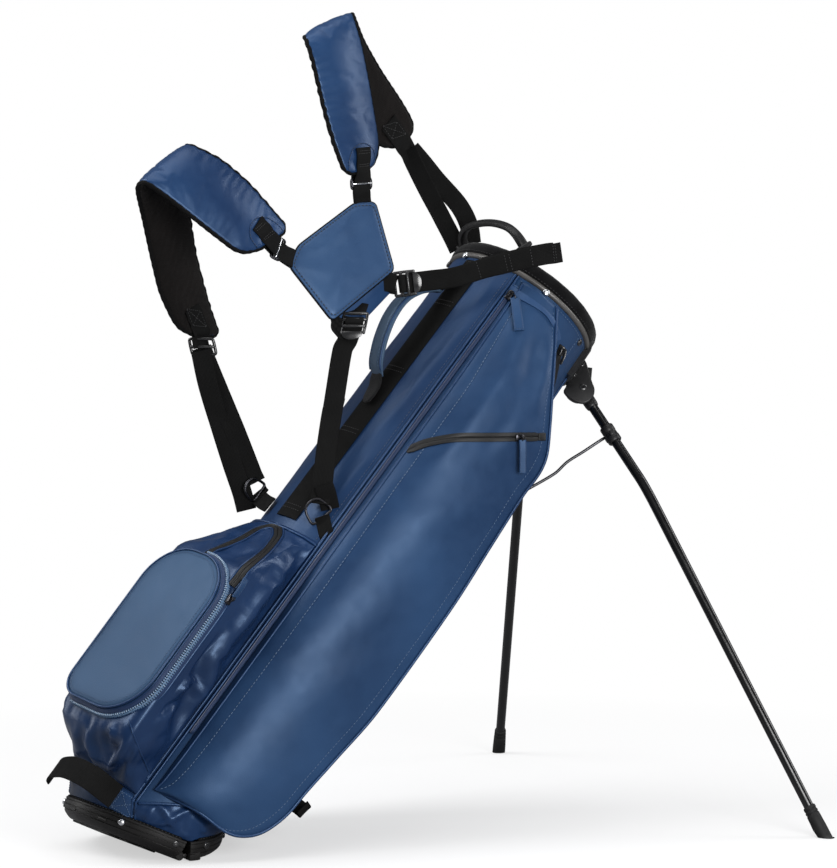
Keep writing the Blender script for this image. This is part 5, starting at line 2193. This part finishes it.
# ---------------------------------------------------------------- floor, light, camera
def floor_material(name, color):
    """Pale floor that runs out to white away from the bag and bounces little light back."""
    t = Shader(name)
    grain = t.ramp(t.noise(scale=3.0, detail=4), span=(0.3, 0.7))
    seen = t.node("LightPath").outputs["Is Camera Ray"]
    from_x = t.math("POWER", t.math("SUBTRACT", t.split(t.obj)[0], 0.36), 2.0)
    from_y = t.math("POWER", t.split(t.obj)[1], 2.0)
    away = t.ramp(t.math("SQRT", t.math("ADD", from_x, from_y)), span=(0.25, 1.15))
    shade = t.mix(seen, (0.30, 0.30, 0.31), t.mix(grain, color, tint(color, 0.985)))
    t.finish(color=shade, rough=0.9, spec=0.05)
    white = t.node("Emission", {0: (1, 1, 1), 1: 1.0})
    away = t.math("MINIMUM", t.math("MAXIMUM", away, 0.0), 1.0)
    whiteness = t.math("MULTIPLY", seen, t.math("ADD", t.math("MULTIPLY", away, 0.5), 0.5))
    blend = t.node("MixShader", {0: whiteness, 1: t.base.outputs[0], 2: white.outputs[0]})
    t.feed(t.output.inputs[0], blend.outputs[0])
    return t.material


def build_floor():
    """Flat sheet in metres, squared to the view."""
    away, across = -EYE[:2], np.array([-EYE[1], EYE[0]])
    points = []
    for distance in (-9.0, 2.2, 5.0, 9.0):
        for side in (-9, 9):
            x, y = away * distance + across * side + (0.39, 0.0)
            points.append((x, y, -0.0006))
    mesh = bpy.data.meshes.new("floor")
    mesh.from_pydata(points, [], [(2 * i, 2 * i + 1, 2 * i + 3, 2 * i + 2) for i in range(3)])
    mesh.polygons.foreach_set("use_smooth", [True] * 3)
    floor = bpy.data.objects.new("floor", mesh)
    SCENE.collection.objects.link(floor)
    mesh.materials.append(floor_material("pale_floor", (0.86, 0.86, 0.865)))


def build_world():
    """Dim cool light, seen as plain white by the camera."""
    world = bpy.data.worlds.new("studio")
    SCENE.world = world
    world.use_nodes = True
    nodes, links = world.node_tree.nodes, world.node_tree.links
    nodes.clear()
    output = nodes.new("ShaderNodeOutputWorld")
    blend = nodes.new("ShaderNodeMixShader")
    path = nodes.new("ShaderNodeLightPath")
    links.new(path.outputs["Is Camera Ray"], blend.inputs[0])
    for socket, color, strength in ((1, (0.80, 0.83, 0.88, 1), 0.18), (2, (1, 1, 1, 1), 1.0)):
        background = nodes.new("ShaderNodeBackground")
        background.inputs[0].default_value = color
        background.inputs[1].default_value = strength
        links.new(background.outputs[0], blend.inputs[socket])
    links.new(blend.outputs[0], output.inputs[0])


LIGHT_TARGET = Vector((0.36, 0.0, 0.5))


def area(name, right, up, back, size, power, size_y=None):
    """White area light, placed in metres from the target as the camera sees it."""
    light = bpy.data.lights.new(name, "AREA")
    light.shape = "RECTANGLE"
    light.size = size
    light.size_y = size_y or size
    light.energy = power
    light.color = (1, 1, 1)
    obj = bpy.data.objects.new(name, light)
    SCENE.collection.objects.link(obj)
    obj.location = (LIGHT_TARGET + Vector(VIEW_RIGHT) * right + Vector((0, 0, 1)) * up
                    + Vector(EYE) * back)
    obj.rotation_mode = "QUATERNION"
    obj.rotation_quaternion = (LIGHT_TARGET - obj.location).to_track_quat("-Z", "Y")


def build_camera():
    camera = bpy.data.cameras.new("camera")
    camera.sensor_width = 36.0
    camera.lens = 129.7741935
    camera.sensor_fit = "AUTO"
    camera.clip_start, camera.clip_end = 0.1, 40
    obj = bpy.data.objects.new("camera", camera)
    SCENE.collection.objects.link(obj)
    back = Vector(EYE).normalized()
    obj.location = Vector(VIEW_CENTRE / 1000) + back * (VIEW_DISTANCE / 1000)
    heading = -0.5431               # turn of the camera's right about z, in radians
    right = Vector((math.cos(heading), math.sin(heading), 0))
    turned = Matrix((right, right.cross(-back), back)).transposed()
    obj.rotation_mode = "QUATERNION"
    obj.rotation_quaternion = turned.to_quaternion()
    SCENE.camera = obj
    SCENE.view_settings.view_transform = "Standard"
    SCENE.view_settings.look = "None"
    SCENE.view_settings.exposure = 0.0
    SCENE.view_settings.gamma = 1.0


build_floor()
build_world()
area("key", right=-1.7, up=1.6, back=0.35, size=1.4, power=46)
area("front_right", right=1.05, up=0.15, back=2.0, size=1.0, power=46)
area("fill", right=0.2, up=0.3, back=2.6, size=1.2, power=4)
area("rim", right=1.9, up=0.8, back=-0.3, size=0.4, power=16, size_y=1.6)
area("top", right=0.0, up=2.4, back=0.3, size=2.0, power=30)
area("left_edge", right=-2.2, up=0.3, back=-0.5, size=0.6, power=8, size_y=1.4)
build_camera()

# ---------------------------------------------------------------- plain finishes for CAD nodes
# The longest matching start of a node's name decides; any other node is leather.
NODE_FINISHES = {
    "base": BASE_PLASTIC, "leg_bracket": MOULDED, "leg_fitting": MOULDED, "leg_clip": MOULDED,
    "leg_foot": RUBBER, "leg_near": LEG_GLOSS, "leg_far": LEG_GLOSS, "stay": WIRE,
    "activation": WIRE, "strut": WIRE, "base_hinge": STEEL, "base_screw": STEEL, "pivot": STEEL,
    "dring": BLACK_METAL, "link_ring": BLACK_METAL, "divider": VELOUR, "ladder": MOULDED,
    "top_handle": MOULDED, "cuff_ring": CUFF_TRIM, "cuff_pad": VELOUR}
for name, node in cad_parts.items():
    start = max(filter(name.startswith, NODE_FINISHES), key=len, default=None)
    material = NODE_FINISHES.get(start, LEATHER)
    if not node.material_slots:
        node.data.materials.append(material)
    for slot in node.material_slots:
        slot.material = material
